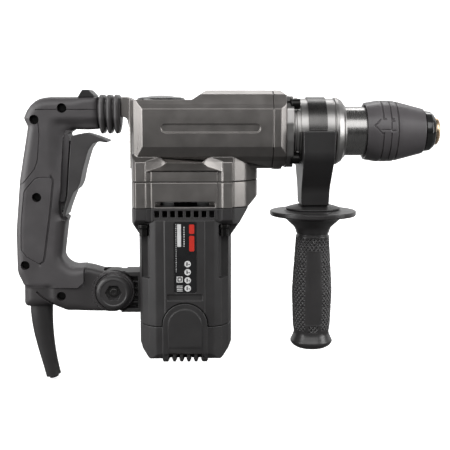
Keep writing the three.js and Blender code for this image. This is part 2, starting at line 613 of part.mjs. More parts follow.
// Where the shells stop short so that the trigger can swing back.
const TRIGGER_ROOM = [[-240, 0.8], [-284, 0.8], [-290.5, -14, 8], [-291.5, -60], [-293, -80.5], [-284.5, -82.5],
  [-240, -82.5]];
const TRIGGER_PIN = { x: -293, z: -72 };
const HANDLE_SCREWS = [[-285.6, 21.3], [-310.7, 11], [-310.4, -59.6], [-322.8, -122.6], [-290.5, -152]];

// The two ends of a stretch of Y on one side, in rising order.
const onSide = (side, from, to) => [side * from, side * to].sort((a, b) => a - b);

function handleShell(side) {
  const slab = (points, from, to) => prism("side", points, ...onSide(side, from, to));
  const rounding = { bevelSegments: 1, bevelSize: 4.5, bevelThickness: 7, bevelOffset: -4.5 };
  const rounded = new THREE.ExtrudeGeometry(outline(HANDLE), { depth: GRIP_HALF - 7, ...rounding });
  const right = common(solid(rounded.applyMatrix4(VIEWS.side)), box([-400, -200], [-30, -GAP / 2], [-200, 60]));
  const half = side < 0 ? right : mirrorY(right);
  const armFront = [[-276, -100], [-276, -127, 6], [-284, -142], [-290, -180], [-200, -180], [-200, -100]];
  const armTrim = slab(armFront, ARM_HALF + 0.6, 40);
  const coreTrim = slab(CORE, 14.6, 40);
  const ear = rod("y", [PIVOT.x, 0, PIVOT.z], 20.3, ...onSide(side, 8.8, 16), 28);
  const earRoot = [[PIVOT.x - 30, -129.8], [PIVOT.x, -129.8], [PIVOT.x, -168.3], [PIVOT.x - 30, -170.3]];
  const earBack = slab(earRoot, 8.8, ARM_HALF);
  const tongueRoom = rod("y", [PIVOT.x, 0, PIVOT.z], 21.5, -8.8, 8.8, 28);
  const endTrim = box([-254, -200], [-40, 40], [-40, 60]);
  const hollows = [
    box([-314, -262], [-10, 10], [6, 25]),
    box([-315, -270], [-13, 13], [-60, 6.5]),
    slab([[-284, -60], [-284, -90], [-300, -90], [-315, -60]], -1, 11),
    box([-318, -305], [-6, 6], [-150, -60]),
    box([-262, -253], [-7, 7], [14, 28]),
    box([-272.6, -260.4], [-3.6, 3.6], [20, 40]),
    rod("y", [PIVOT.x, 0, PIVOT.z], 5.4, -30, 30, 14),
    slab(TRIGGER_ROOM, -1, 40),
    rod("y", [TRIGGER_PIN.x, 0, TRIGGER_PIN.z], 1.85, -12.9, 12.9, 8),
    rod("z", [CORD_X, 0, 0], 7.3, -170, -149, 20),
  ];
  const heads = HANDLE_SCREWS.map(([x, z]) => rod("y", [x, 0, z], 3.9, ...onSide(side, 7, 30), 12));
  const shanks = HANDLE_SCREWS.map(([x, z]) => rod("y", [x, 0, z], 1.8, -20, 20, 8));
  const shell = join(cut(half, armTrim, coreTrim, tongueRoom), ear, earBack);
  return cut(shell, ...hollows, ...(side < 0 ? heads : []), ...shanks, endTrim);
}

piece("handle_shell_right", GRIP_PLASTIC, handleShell(-1));
piece("handle_shell_left", GRIP_PLASTIC, handleShell(1));
HANDLE_SCREWS.forEach(([x, z], i) => {
  const head = rod("y", [x, 0, z], 3.5, -9.5, -7.2, 12);
  const acrossBar = box([x - 2, x + 2], [-11, -8.4], [z - 0.4, z + 0.4]);
  const uprightBar = box([x - 0.4, x + 0.4], [-11, -8.4], [z - 2, z + 2]);
  const shank = rod("y", [x, 0, z], 1.4, -8, 8, 8);
  piece(`handle_screw_${i + 1}`, BLACK_STEEL, join(cut(head, acrossBar, uprightBar), shank));
});

function trigger() {
  const outside = [
    [-279.5, -6, 5], [-268, -2.6, 8], [-247, -9.4, 0.8], [-257.5, -10.5, 6], [-264, -20, 12],
    [-271, -47, 14], [-281, -58, 8], [-286.8, -78.5, 1], [-289, -78.5, 1],
  ];
  const inside = [
    [-290, -7], [-276, -7, 4], [-267.5, -22, 12], [-274.5, -49, 10], [-284.5, -61, 6], [-288, -74, 1], [-300, -74],
  ];
  const blade = prism("side", outside, -TRIGGER_HALF, TRIGGER_HALF);
  const hollow = prism("side", inside, -TRIGGER_HALF + 2, TRIGGER_HALF - 2);
  const tongue = box([-296, -285.5], [-2.5, 2.5], [-76.5, -68]);
  return join(cut(blade, hollow), tongue, rod("y", [TRIGGER_PIN.x, 0, TRIGGER_PIN.z], 1.5, -12.5, 12.5, 10));
}
piece("trigger", PLASTIC, trigger());
piece("switch_body", PLASTIC, box([-313, -299], [-9, 9], [-50, 0]));
piece("lock_slider", PLASTIC, join(
  prism("side", [[-271.5, 31.3 + GAP], [-266.3, 37.8, 1.5], [-261, 37.8, 1.5], [-257, 31.3 + GAP]], -16.5, 16.5),
  box([-268, -262], [-3, 3], [26, 32]),
));

// ---- handle pivot, bellows, damper and cord -----------------------------------------------------

piece("pivot_bolt", STEEL, rod("y", [PIVOT.x, 0, PIVOT.z], 5, -17.5, 17.5, 14));
for (const [name, side] of [["pivot_cap_right", -1], ["pivot_cap_left", 1]]) {
  const centre = [PIVOT.x, 0, PIVOT.z];
  const profile = [[16.2, 5.4], [16.2, 15.8], [20.5, 15.8], [22, 14.2], [22, 5.4]];
  const disc = turned("y", centre, profile.map(([a, r]) => [side * a, r]), 20);
  const socket = rod("y", centre, 7.6, ...onSide(side, 18, 30), 6);
  piece(name, PLASTIC, cut(disc, socket));
}

// Rings of a rounded section that narrows towards its foot, joined into a ribbed sleeve.
const BELLOWS_HALF = [[18.5, 31, 8], [18.5, 12, 8], [9, 0.5, 6]];
function bellows() {
  const grown = (amount) =>
    mirroredX(BELLOWS_HALF.map(([y, z, r]) => [y + amount, 16 + (z - 16) * (1 + amount / 15), r]));
  const sleeve = prism("front", grown(0), -253.7, -233.4);
  const ribs = [-250.4, -243.5, -236.8].map((x) => prism("front", grown(2), x - 1.9, x + 1.9));
  return cut(join(sleeve, ...ribs), prism("front", grown(-2.5), -260, -220));
}
piece("bellows", RUBBER, bellows());
piece("damper_spring", STEEL, swept(new Helix(5, 5, -251, -223, 22), 0.8, 32, 5));

const cordPoint = (x, z) => new THREE.Vector3(x, 0, z);
const cordLine = new THREE.CurvePath();
cordLine.add(new THREE.LineCurve3(cordPoint(CORD_X, -148), cordPoint(CORD_X, -168)));
cordLine.add(new THREE.CubicBezierCurve3(
  cordPoint(CORD_X, -168), cordPoint(CORD_X, -190), cordPoint(-307, -212), cordPoint(-301.9, -234),
));

// A tapering sleeve along the cord: rings of points out along its outside and back along its bore.
function cordGuard() {
  const stations = 5;
  const sides = 12;
  const bore = 4.8;
  const layers = [[0.03, bore], [0.03, 7], [0.178, 7]];
  for (let k = 0; k <= stations; k++) layers.push([0.179 + (0.76 * k) / stations, 10.4 - 3.5 * (k / stations)]);
  for (let k = stations; k >= 0; k--) layers.push([0.179 + (0.76 * k) / stations, bore]);
  const vertices = [];
  for (const [t, radius] of layers) {
    const centre = cordLine.getPointAt(t);
    const along = cordLine.getTangentAt(t);
    const across = new THREE.Vector3(along.z, 0, -along.x);
    for (let i = 0; i < sides; i++) {
      const angle = (i / sides) * 2 * Math.PI;
      const point = centre.clone().addScaledVector(across, radius * Math.cos(angle));
      vertices.push(point.x, point.y + radius * Math.sin(angle), point.z);
    }
  }
  const faces = [];
  layers.forEach((_, k) => {
    const next = (k + 1) % layers.length;
    for (let i = 0; i < sides; i++) {
      const j = (i + 1) % sides;
      const [a, b, c, d] = [k * sides + i, k * sides + j, next * sides + j, next * sides + i];
      faces.push(a, b, c, a, c, d);
    }
  });
  const geometry = new THREE.BufferGeometry();
  geometry.setAttribute("position", new THREE.BufferAttribute(new Float32Array(vertices), 3));
  geometry.setIndex(faces);
  return solid(geometry);
}
piece("cord_guard", RUBBER, cordGuard());
piece("power_cord", RUBBER, swept(cordLine, 4.3, 14, 10));

export default group;
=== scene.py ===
"""Looks of a corded rotary hammer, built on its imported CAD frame.

Shapes are modelled in millimetres in the row frame (origin on the spindle axis at the bit seat, +X forward,
+Z up) and scaled to metres when they are placed.
"""
import json
import math

import bmesh
import bpy
import numpy as np
from mathutils import Matrix, Vector
from mathutils.geometry import delaunay_2d_cdt


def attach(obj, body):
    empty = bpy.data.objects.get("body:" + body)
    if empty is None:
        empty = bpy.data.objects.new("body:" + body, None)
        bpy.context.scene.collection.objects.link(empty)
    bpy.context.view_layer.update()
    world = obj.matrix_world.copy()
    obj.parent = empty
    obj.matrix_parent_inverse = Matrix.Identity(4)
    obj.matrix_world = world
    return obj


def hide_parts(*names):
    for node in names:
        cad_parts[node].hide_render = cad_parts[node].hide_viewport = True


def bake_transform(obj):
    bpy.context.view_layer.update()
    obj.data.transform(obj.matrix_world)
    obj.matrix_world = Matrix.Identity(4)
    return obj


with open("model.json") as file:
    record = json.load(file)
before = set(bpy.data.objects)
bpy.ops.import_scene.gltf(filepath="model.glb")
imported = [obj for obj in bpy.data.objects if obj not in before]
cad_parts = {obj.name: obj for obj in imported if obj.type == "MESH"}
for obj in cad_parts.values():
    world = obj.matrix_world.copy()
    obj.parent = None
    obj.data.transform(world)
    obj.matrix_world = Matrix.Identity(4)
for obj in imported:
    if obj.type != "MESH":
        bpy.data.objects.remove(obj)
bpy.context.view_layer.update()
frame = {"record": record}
MM = 0.001

# ---- shared positions, in millimetres ------------------------------------------------------

MOTOR_X, CRANK_X, BEVEL_X, SIDE_X, CORD_X = -175.0, -197.0, -147.0, -55.5, -311.9
PIVOT_X, PIVOT_Z = -241.5, -148.0
PIVOT = (PIVOT_X, 0, PIVOT_Z)
FLANGE_X = -96.0
KNOB = (CRANK_X + 34, 0, 2)
CASE_JOINT_Z, MOTOR_JOINT_Z, CAP_JOINT_Z, BASE_Z = -43.6, -67.2, -175.0, -207.6
ARM_HALF = 14.0
BIT_BORE = 5.05  # radius

# ---- outlines and solids -------------------------------------------------------------------


def fillet(points, step=9.0, closed=True):
    """A 2D outline. A third number on a point rounds that corner to this radius."""
    traced, n = [], len(points)
    for i, (x, y, *radius) in enumerate(points):
        corner = np.array((x, y), float)
        if not radius or (not closed and i in (0, n - 1)):
            traced.append(corner)
            continue
        before = np.array(points[i - 1][:2], float) - corner
        after = np.array(points[(i + 1) % n][:2], float) - corner
        reach_before, reach_after = np.linalg.norm(before), np.linalg.norm(after)
        before, after = before / reach_before, after / reach_after
        half = math.acos(np.clip(before @ after, -0.9999, 0.9999)) / 2
        reach = min(radius[0] / math.tan(half), reach_before * 0.49, reach_after * 0.49)
        r = reach * math.tan(half)
        middle = before + after
        centre = corner + middle / np.linalg.norm(middle) * (r / math.sin(half))
        start, end = corner + before * reach - centre, corner + after * reach - centre
        sweep = math.atan2(start[0] * end[1] - start[1] * end[0], start @ end)
        count = max(2, math.ceil(abs(math.degrees(sweep)) / step))
        for k in range(count + 1):
            c, s = math.cos(sweep * k / count), math.sin(sweep * k / count)
            traced.append(centre + (start[0] * c - start[1] * s, start[0] * s + start[1] * c))
    return [tuple(p) for p in traced]


def mirror(half, axis):
    """An outline made from one half and its reflection: axis 0 flips x, axis 1 flips y."""
    flipped = [tuple(-v if i == axis else v for i, v in enumerate(p)) for p in reversed(half)]
    return list(half) + flipped


def rect(wide, high, corner=None):
    """A rectangle's outline from its two ranges."""
    rounding = () if corner is None else (corner,)
    (x0, x1), (z0, z1) = wide, high
    return [(x, z, *rounding) for x, z in ((x0, z0), (x0, z1), (x1, z1), (x1, z0))]


def circle(x, z, radius, count):
    turn = np.linspace(0, 2 * math.pi, count, False)
    return [(x + radius * math.cos(a), z + radius * math.sin(a)) for a in turn]


def mesh_object(vertices, faces):
    """A closed solid. Everything is in millimetres until place() scales it."""
    data = bpy.data.meshes.new("solid")
    data.from_pydata([tuple(v) for v in vertices], [], faces)
    made = bpy.data.objects.new("solid", data)
    bpy.context.scene.collection.objects.link(made)
    work = bmesh.new()
    work.from_mesh(data)
    bmesh.ops.remove_doubles(work, verts=work.verts, dist=1e-4)
    bmesh.ops.recalc_face_normals(work, faces=work.faces)
    work.to_mesh(data)
    work.free()
    return made


VIEWS = {
    "plan": lambda a, b, c: (a, b, c),
    "side": lambda a, b, c: (a, c, b),
    "front": lambda a, b, c: (c, a, b),
}


def loft(rings):
    """A closed body through rings of equally many points."""
    n, last = len(rings[0]), (len(rings) - 1) * len(rings[0])
    faces = [tuple(range(n)), tuple(range(last + n - 1, last - 1, -1))]
    for start in range(0, last, n):
        faces += [(start + i, start + (i + 1) % n, start + n + (i + 1) % n, start + n + i) for i in range(n)]
    return mesh_object([point for ring in rings for point in ring], faces)


def prism(view, points, low, high, step=9.0):
    """An outline drawn in a view, with thickness from low to high across that view."""
    outline = fillet(points, step)
    return loft([[VIEWS[view](a, b, c) for a, b in outline] for c in (low, high)])


def box(x, y, z):
    return prism("plan", [(x[0], y[0]), (x[1], y[0]), (x[1], y[1]), (x[0], y[1])], z[0], z[1])


def lathe(axis, centre, profile, segments=96, step=9.0, relief=None):
    """Turns a closed profile of (position along the axis, radius, optional corner radius) about an axis.
    relief(along, angle, radius) is how far the surface sinks below the profile there."""
    ring = fillet(profile, step)
    along = np.array([p[0] for p in ring])[:, None] + np.zeros(segments)[None, :]
    radius = np.array([p[1] for p in ring])[:, None] + np.zeros(segments)[None, :]
    angle = np.linspace(0, 2 * math.pi, segments, endpoint=False)[None, :] + np.zeros(len(ring))[:, None]
    if relief is not None:
        radius = np.maximum(radius - relief(along, angle, radius), 0)
    u, v = radius * np.cos(angle), radius * np.sin(angle)
    place = {"x": (along, u, v), "y": (u, along, v), "z": (u, v, along)}[axis]
    vertices = np.stack(place, -1).reshape(-1, 3) + np.array(centre)
    faces = []
    for i in range(len(ring)):
        j = (i + 1) % len(ring)
        if ring[i][1] < 1e-6 and ring[j][1] < 1e-6:
            continue
        for k in range(segments):
            m = (k + 1) % segments
            near, far = (i * segments + k, i * segments + m), (j * segments + k, j * segments + m)
            if ring[i][1] < 1e-6:
                near = (i * segments,)
            elif ring[j][1] < 1e-6:
                far = (j * segments,)
            faces.append((near[0], *far, *near[1:]))
    return mesh_object(vertices, faces)


def rod(axis, centre, radius, low, high, segments=64):
    return lathe(axis, centre, [(low, 0), (low, radius), (high, radius), (high, 0)], segments)


def ring(axis, centre, inner, outer, low, high, segments=96):
    return lathe(axis, centre, [(low, inner), (low, outer), (high, outer), (high, inner)], segments)


def settle(obj):
    """Applies an object's modifiers to its mesh."""
    graph = bpy.context.evaluated_depsgraph_get()
    data = bpy.data.meshes.new_from_object(obj.evaluated_get(graph))
    obj.modifiers.clear()
    obj.data = data
    return obj


def boolean(kind, base, tools):
    """Combines base with each tool in turn and removes the tools."""
    for tool in tools:
        step = base.modifiers.new(kind, "BOOLEAN")
        step.operation, step.object, step.solver = kind, tool, "MANIFOLD"
    settle(base)
    for tool in tools:
        bpy.data.objects.remove(tool)
    return base


def join(base, *tools):
    return boolean("UNION", base, tools)


def cut(base, *tools):
    return boolean("DIFFERENCE", base, tools)


def common(base, *tools):
    return boolean("INTERSECT", base, tools)


def span(side, low, high):
    """The range from low to high on one side, in rising order."""
    return sorted((side * low, side * high))


def side_pair(outline, low, high):
    """A side-view outline made solid from low to high on the right and on the left."""
    return [prism("side", outline, *span(side, low, high)) for side in (-1, 1)]


def front_pair(outline, low, high):
    """A front-view outline and its reflection, made solid from low to high along X."""
    return [prism("front", [(side * y, *rest) for y, *rest in outline], low, high) for side in (-1, 1)]


def sweep(points, radii, sides=40):
    """A round bar of changing radius along a planar curve in XZ."""
    points, rings = np.array(points, float), []
    for i, (point, radius) in enumerate(zip(points, radii)):
        along = points[min(i + 1, len(points) - 1)] - points[max(i - 1, 0)]
        across_x, across_z = radius * along[[1, 0]] / np.linalg.norm(along)
        rings.append([
            (point[0] + across_x * math.cos(a), radius * math.sin(a), point[1] - across_z * math.cos(a))
            for a in np.linspace(0, 2 * math.pi, sides, False)
        ])
    return loft(rings)


# ---- materials -----------------------------------------------------------------------------


class Nodes:
    """Short ways to add shader nodes to one material."""

    def __init__(self, name):
        self.material = bpy.data.materials.new(name)
        self.material.use_nodes = True
        self.tree = self.material.node_tree
        self.shader = self.tree.nodes["Principled BSDF"]
        self.position = self.add("TexCoord").outputs["Object"]

    def add(self, kind):
        return self.tree.nodes.new("ShaderNode" + kind)

    def link(self, out, into):
        self.tree.links.new(out, into)

    def feed(self, socket, value):
        if isinstance(value, bpy.types.NodeSocket):
            self.link(value, socket)
        else:
            socket.default_value = value

    def along(self, axis):
        """The place of a point along X, Y or Z, in metres."""
        split = self.add("SeparateXYZ")
        self.link(self.position, split.inputs[0])
        return split.outputs[axis]

    def math(self, kind, a, b=0.0):
        node = self.add("Math")
        node.operation = kind
        self.feed(node.inputs[0], a)
        self.feed(node.inputs[1], b)
        return node.outputs[0]

    def noise(self, size, detail=2.0, stretch=(1, 1, 1)):
        """Noise whose grain is about size millimetres."""
        scale = self.add("Mapping")
        scale.inputs["Scale"].default_value = stretch
        self.link(self.position, scale.inputs["Vector"])
        node = self.add("TexNoise")
        node.inputs["Scale"].default_value = 1000.0 / size
        node.inputs["Detail"].default_value = detail
        self.link(scale.outputs[0], node.inputs["Vector"])
        return node.outputs[0]

    def remap(self, value, low, high, new_low, new_high):
        node = self.add("MapRange")
        self.feed(node.inputs["Value"], value)
        for socket, number in zip(node.inputs[1:5], (low, high, new_low, new_high)):
            socket.default_value = number
        return node.outputs[0]

    def mix(self, share, a, b):
        """A colour between a and b. Each is a socket or three numbers."""
        node = self.add("Mix")
        node.data_type = "RGBA"
        self.feed(node.inputs[0], share)
        self.feed(node.inputs[6], a if isinstance(a, bpy.types.NodeSocket) else (*a, 1))
        self.feed(node.inputs[7], b if isinstance(b, bpy.types.NodeSocket) else (*b, 1))
        return node.outputs[2]

    def scaled(self, colour, factor):
        node = self.add("VectorMath")
        node.operation = "SCALE"
        self.link(colour, node.inputs[0])
        self.feed(node.inputs["Scale"], factor)
        return node.outputs[0]

    def edges(self, radius, grain):
        """1 on convex edges, broken up by grain, and 0 on flats."""
        bevel = self.add("Bevel")
        bevel.samples = 4
        bevel.inputs["Radius"].default_value = radius * MM
        geometry = self.add("NewGeometry")
        dot = self.add("VectorMath")
        dot.operation = "DOT_PRODUCT"
        self.link(bevel.outputs[0], dot.inputs[0])
        self.link(geometry.outputs["Normal"], dot.inputs[1])
        turned = self.math("SUBTRACT", 1.0, dot.outputs["Value"])
        rounded = self.remap(turned, 0.01, 0.12, 0.0, 1.0)
        return self.math("MULTIPLY", rounded, self.remap(grain, 0.35, 0.6, 0.3, 1.0))

    def bump(self, height, strength, distance):
        node = self.add("Bump")
        node.inputs["Strength"].default_value = strength
        node.inputs["Distance"].default_value = distance * MM
        self.link(height, node.inputs["Height"])
        self.link(node.outputs[0], self.shader.inputs["Normal"])

    def finish(self, colour, roughness, metallic=0.0, coat=0.0):
        self.feed(self.shader.inputs["Base Color"], colour)
        self.feed(self.shader.inputs["Roughness"], roughness)
        self.feed(self.shader.inputs["Metallic"], metallic)
        self.shader.inputs["Coat Weight"].default_value = coat
        self.shader.inputs["Coat Roughness"].default_value = 0.12
        return self.material


def grey(value, warmth=0.0, mauve=0.0):
    """A grey tinted towards yellow by warmth and towards magenta by mauve."""
    return (value * (1 + warmth + mauve), value, value * (1 - warmth + mauve))


def patchy(n, patches, dark, light):
    """A colour that drifts between dark and light with the patches."""
    return n.mix(n.remap(patches, 0.3, 0.7, 0, 1), dark, light)


def paint_look():
    """Satin metallic paint over a die casting, thinner and brighter along its edges, the brightness partly a
    painted highlight, with painted light and shade that change with height.
    """
    n = Nodes("gunmetal_paint")
    fine, patches = n.noise(0.35, 2), n.noise(14, 3)
    base = patchy(n, patches, grey(0.180, 0.05, 0.01), grey(0.208, 0.05, 0.01))
    height = n.along("Z")
    # Painted light and shade: the paint is drawn lighter towards the top, darker along the case's
    # downward-facing lower bevel where shade falls, and lighter again below that bevel.
    painted_top_light = n.remap(height, -0.012, 0.016, 0.92, 1.28)
    painted_low_light = n.remap(height, -0.0240, -0.0262, 0.0, 1.32)
    base = n.scaled(base, n.math("MAXIMUM", painted_top_light, painted_low_light))
    flecked = n.mix(n.remap(fine, 0.5, 0.72, 0, 0.45), base, grey(0.28, 0.04))
    # Painted highlight: convex edges are lightened, partly as paint worn thin and partly standing in for the
    # bright lines that light draws along chamfers.
    edge_wear_and_highlight = n.edges(0.55, n.noise(2.5, 3))
    colour = n.mix(edge_wear_and_highlight, flecked, grey(0.75, 0.03))
    n.bump(fine, 0.2, 0.05)
    return n.finish(colour, n.remap(patches, 0.3, 0.7, 0.30, 0.38), 0.8)


def plastic_look(
    name, value, roughness, grain=0.45, depth=0.09, warmth=0.015, mauve=0.03, edge=1.6, darker=None,
):
    """Moulded plastic with a fine spark-eroded texture, a little polished on its edges and lighter there
    partly by painted highlight.
    darker(nodes) gives where the moulding is drawn darker."""
    n = Nodes(name)
    fine, patches = n.noise(grain, 1.5), n.noise(22, 4)
    base = patchy(n, patches, *(grey(value * share, warmth, mauve) for share in (0.88, 1.12)))
    if darker:
        base = n.mix(darker(n), base, grey(value * 0.6, warmth + 0.01, mauve))
    # Painted highlight: convex edges are lightened, partly as polish and partly standing in for the light
    # that edges catch.
    edge_wear_and_highlight = n.edges(0.6, n.noise(4, 3))
    polish_and_highlight = grey(min(0.9, value * (1 + edge)), warmth, mauve)
    colour = n.mix(n.math("MULTIPLY", edge_wear_and_highlight, 0.55), base, polish_and_highlight)
    rough = n.remap(patches, 0.25, 0.75, roughness - 0.05, roughness + 0.06)
    n.bump(fine, 0.35, depth)
    return n.finish(colour, n.math("SUBTRACT", rough, n.math("MULTIPLY", edge_wear_and_highlight, 0.08)))


def metal_look(name, value, roughness, stretch=(1, 1, 1), grain=0.5, depth=0.02, warmth=0.02, spread=0.12):
    """Bare metal whose tool marks or blasting run as stretch says."""
    n = Nodes(name)
    marks, patches = n.noise(grain, 3, stretch), n.noise(9, 4)
    colour = patchy(n, patches, *(grey(value * share, warmth) for share in (1 - spread, 1 + spread)))
    # Painted highlight: convex edges are lightened, partly as wear and partly standing in for the bright
    # edge lines that light draws.
    edge_wear_and_highlight = n.edges(0.35, n.noise(2, 3))
    bright = n.mix(n.math("MULTIPLY", edge_wear_and_highlight, 0.5), colour, grey(min(0.95, value * 1.6), warmth))
    n.bump(marks, 0.3, depth)
    return n.finish(bright, n.remap(marks, 0.3, 0.7, roughness - 0.06, roughness + 0.08), 1.0)


def flat_look(name, colour, roughness, coat=0.0):
    """A smooth coloured surface: film, print or gloss plastic."""
    n = Nodes(name)
    patches = n.noise(6, 3)
    n.bump(n.noise(0.5, 2), 0.1, 0.02)
    mixed = patchy(n, patches, *([c * share for c in colour] for share in (0.92, 1.06)))
    rough = n.remap(patches, 0.3, 0.7, roughness - 0.04, roughness + 0.05)
    return n.finish(mixed, rough, coat=coat)


def below_arm_line(n):
    """1 on the rear handle's foot and arm, which are drawn darker, and 0 on its grip."""
    height = n.along("Z")
    foot = n.remap(height, -0.1434, -0.1440, 0.0, 1.0)
    in_front = n.remap(n.along("X"), -0.2697, -0.2691, 0.0, 1.0)
    arm = n.math("MULTIPLY", in_front, n.remap(height, -0.100, -0.101, 0.0, 1.0))
    return n.math("MAXIMUM", foot, arm)


ROUND_X = (1, 0.04, 0.04)
PLASTICS = {
    "motor_plastic": (0.030, 0.46, {}),
    "handle_plastic": (0.069, 0.46, {"mauve": 0.05, "darker": below_arm_line}),
    "black_plastic": (0.022, 0.40, {}),
    "soft_rubber": (0.030, 0.42, {"grain": 0.6, "depth": 0.05}),
    "sleeve_plastic": (0.085, 0.34, {"depth": 0.05, "mauve": 0.06}),
    "trigger_plastic": (0.055, 0.40, {"depth": 0.05}),
    "cap_plastic": (0.040, 0.34, {"depth": 0.05}),
    # Painted highlight: edge 5 lightens the knurl's ridges strongly, standing in for the light that their
    # peaks catch.
    "grip_rubber": (0.036, 0.31, {"grain": 0.6, "depth": 0.05, "edge": 5}),
    "bellows_rubber": (0.088, 0.44, {"grain": 0.6, "depth": 0.05}),
}
METALS = {
    "cast_aluminium": (0.37, 0.36, {"grain": 0.6, "depth": 0.07, "spread": 0.08}),
    "bright_steel": (0.33, 0.24, {"stretch": ROUND_X, "grain": 0.25, "spread": 0.04}),
    "dark_steel": (0.10, 0.30, {}),
    "black_screw": (0.030, 0.36, {"grain": 0.4}),
    "brass": (0.62, 0.25, {"grain": 0.4, "warmth": 0.32}),
}
FLATS = {
    "gloss_black": ((0.012, 0.012, 0.012), 0.14, 0.6),
    "brush_carbon": ((0.03, 0.03, 0.032), 0.6, 0),
    "label_film": ((0.010, 0.010, 0.011), 0.30, 0.3),
    "print_white": ((0.72, 0.72, 0.72), 0.5, 0),
    "print_red": ((0.62, 0.03, 0.018), 0.45, 0),
}
LOOK = {"housing_paint": paint_look()}
for build, table in ((plastic_look, PLASTICS), (metal_look, METALS)):
    LOOK.update((name, build(name, value, rough, **more)) for name, (value, rough, more) in table.items())
LOOK.update((name, flat_look(name, *settings)) for name, settings in FLATS.items())

# ---- placing pieces ------------------------------------------------------------------------


def place(obj, name, body, look, nodes=(), bevel=0.5, angle=28.0, segments=2):
    """Cleans a solid, rounds its edges, scales it to metres and gives it its look and its body.
    nodes are the CAD nodes that it stands for."""
    obj.name = obj.data.name = name
    work = bmesh.new()
    work.from_mesh(obj.data)
    bmesh.ops.remove_doubles(work, verts=work.verts, dist=2e-3)
    bmesh.ops.dissolve_degenerate(work, edges=work.edges, dist=2e-3)
    if bevel:
        bmesh.ops.dissolve_limit(work, angle_limit=math.radians(0.6), verts=work.verts, edges=work.edges)
    work.to_mesh(obj.data)
    work.free()
    if bevel:
        step = obj.modifiers.new("edges", "BEVEL")
        step.width, step.segments, step.limit_method = bevel, segments, "ANGLE"
        step.angle_limit, step.use_clamp_overlap = math.radians(angle), False
        step.miter_outer = "MITER_ARC"
        settle(obj)
    obj.data.transform(Matrix.Diagonal((MM, MM, MM, 1.0)))
    for polygon in obj.data.polygons:
        polygon.use_smooth = True
    obj.data.materials.clear()
    obj.data.materials.append(LOOK[look])
    if bevel:
        step = obj.modifiers.new("shade", "WEIGHTED_NORMAL")
        step.weight = 80
        settle(obj)
    else:
        obj.data.set_sharp_from_angle(angle=math.radians(angle + 12))
    if body:
        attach(obj, body)
    if nodes:
        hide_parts(*nodes)
    return obj


# ---- gear housing, flanges and neck --------------------------------------------------------

SECTION = mirror([
    (24, 37, 2), (31.5, 33.4, 1.5), (38.2, 24.6, 1), (42, 20.6, 0.8), (42, -12.8, 1.2), (36.5, -21.5, 3),
    (22, -33, 4),
], 0)
CASE_PLAN = mirror([
    (-222.6, 31, 3), (-220, 39.5, 2), (-218, 43, 0.8), (-209.8, 43), (-209, 41.6), (-204.6, 40.4),
    (-204, 41.6), (-146, 41.6), (-145.4, 40.4), (-141.4, 41.6), (-140.6, 43), (-132.4, 43, 0.6),
    (-131.4, 36.5, 0.5), (-130, 35.8, 0.5), (-120, 29, 14), (-108.6, 12, 14),
], 1)
NOSE_SCREWS = [(-24, 25), (24, 25), (-24, -24), (24, -24)]
BOSS_X = (-211.6, -139.4)
PLUG = (-90.2, 0, 0)


def gear_housing():
    side = [
        (-225, -24), (-225, 2, 10), (-227, 12.6, 4), (-233, 13.6, 1), (-233, 31.2, 1.5), (-226, 31.2, 3),
        (-222, 28.6, 3), (-168, 28.6, 5), (-155.5, 37, 4), (FLANGE_X, 37), (FLANGE_X, -40), (-226, -40),
    ]
    plan = mirror([(-233, 16.5, 2), (-224, 17, 3), (-220, 33, 1.5), (-211.5, 42), (FLANGE_X, 42)], 1)
    upper = common(
        prism("front", SECTION, -233, FLANGE_X), prism("side", side, -50, 50), prism("plan", plan, -45, 45),
    )
    # Between the bosses the case slopes in, wider at its foot, and each boss has a sloping roof.
    slope = [(60, -35.2), (43, -35.2), (28.6, -27.2), (26, -12), (60, -12)]
    flare = [
        (-209.2, 41.7), (-196, 35), (-188, 26), (-162, 26), (-154, 35), (-141, 41.7), (-141, 60),
        (-209.2, 60),
    ]
    roof = [(60, -26.2), (43.2, -26.2), (35.6, -21.6), (30, -18), (60, -18)]
    flares = [prism("plan", [(x, side * y) for x, y in flare], -60, -10) for side in (-1, 1)]
    shelves = [common(slab, trim) for slab, trim in zip(front_pair(slope, -210, -140), flares)]
    lower = cut(prism("plan", CASE_PLAN, CASE_JOINT_Z, -20), *shelves, *front_pair(roof, -230, -120))
    hollow = join(
        box((-216, -150), (-34, 34), (-50, -38)), box((-217.6, -151), (-25.6, 25.6), (-39, 22)),
        rod("x", (0, 0, 0), 27, -152, -100), rod("z", (BEVEL_X, 0, 0), 26, -39, -10),
        rod("x", (0, 0, 0), 23.2, -101, -95),
    )
    grooves = side_pair(rect((-195, -107.7), (0, 7.4), 3.7), 40.3, 46)
    cap_seat = ring("z", (CRANK_X, 0, 0), 21.4, 23.2, 27.9, 40)
    return cut(join(upper, lower), *grooves, cap_seat, hollow, ring("y", KNOB, 16.6, 18.4, 41.2, 46))


def front_flange():
    side = [(-95.7, -40), (-95.7, 40), (-89, 37), (-84, 32.6), (-84, -29.5), (-89, -33), (-89, -40)]
    plan = mirror([(-95.7, 42), (-89.4, 42), (-84, 37.6)], 1)
    body = common(
        prism("front", SECTION, -95.7, -84), prism("side", side, -50, 50), prism("plan", plan, -45, 45),
    )
    return cut(body, rod("x", (0, 0, 0), 23.4, -100, -80), rod("z", PLUG, 3.2, -40, -26))


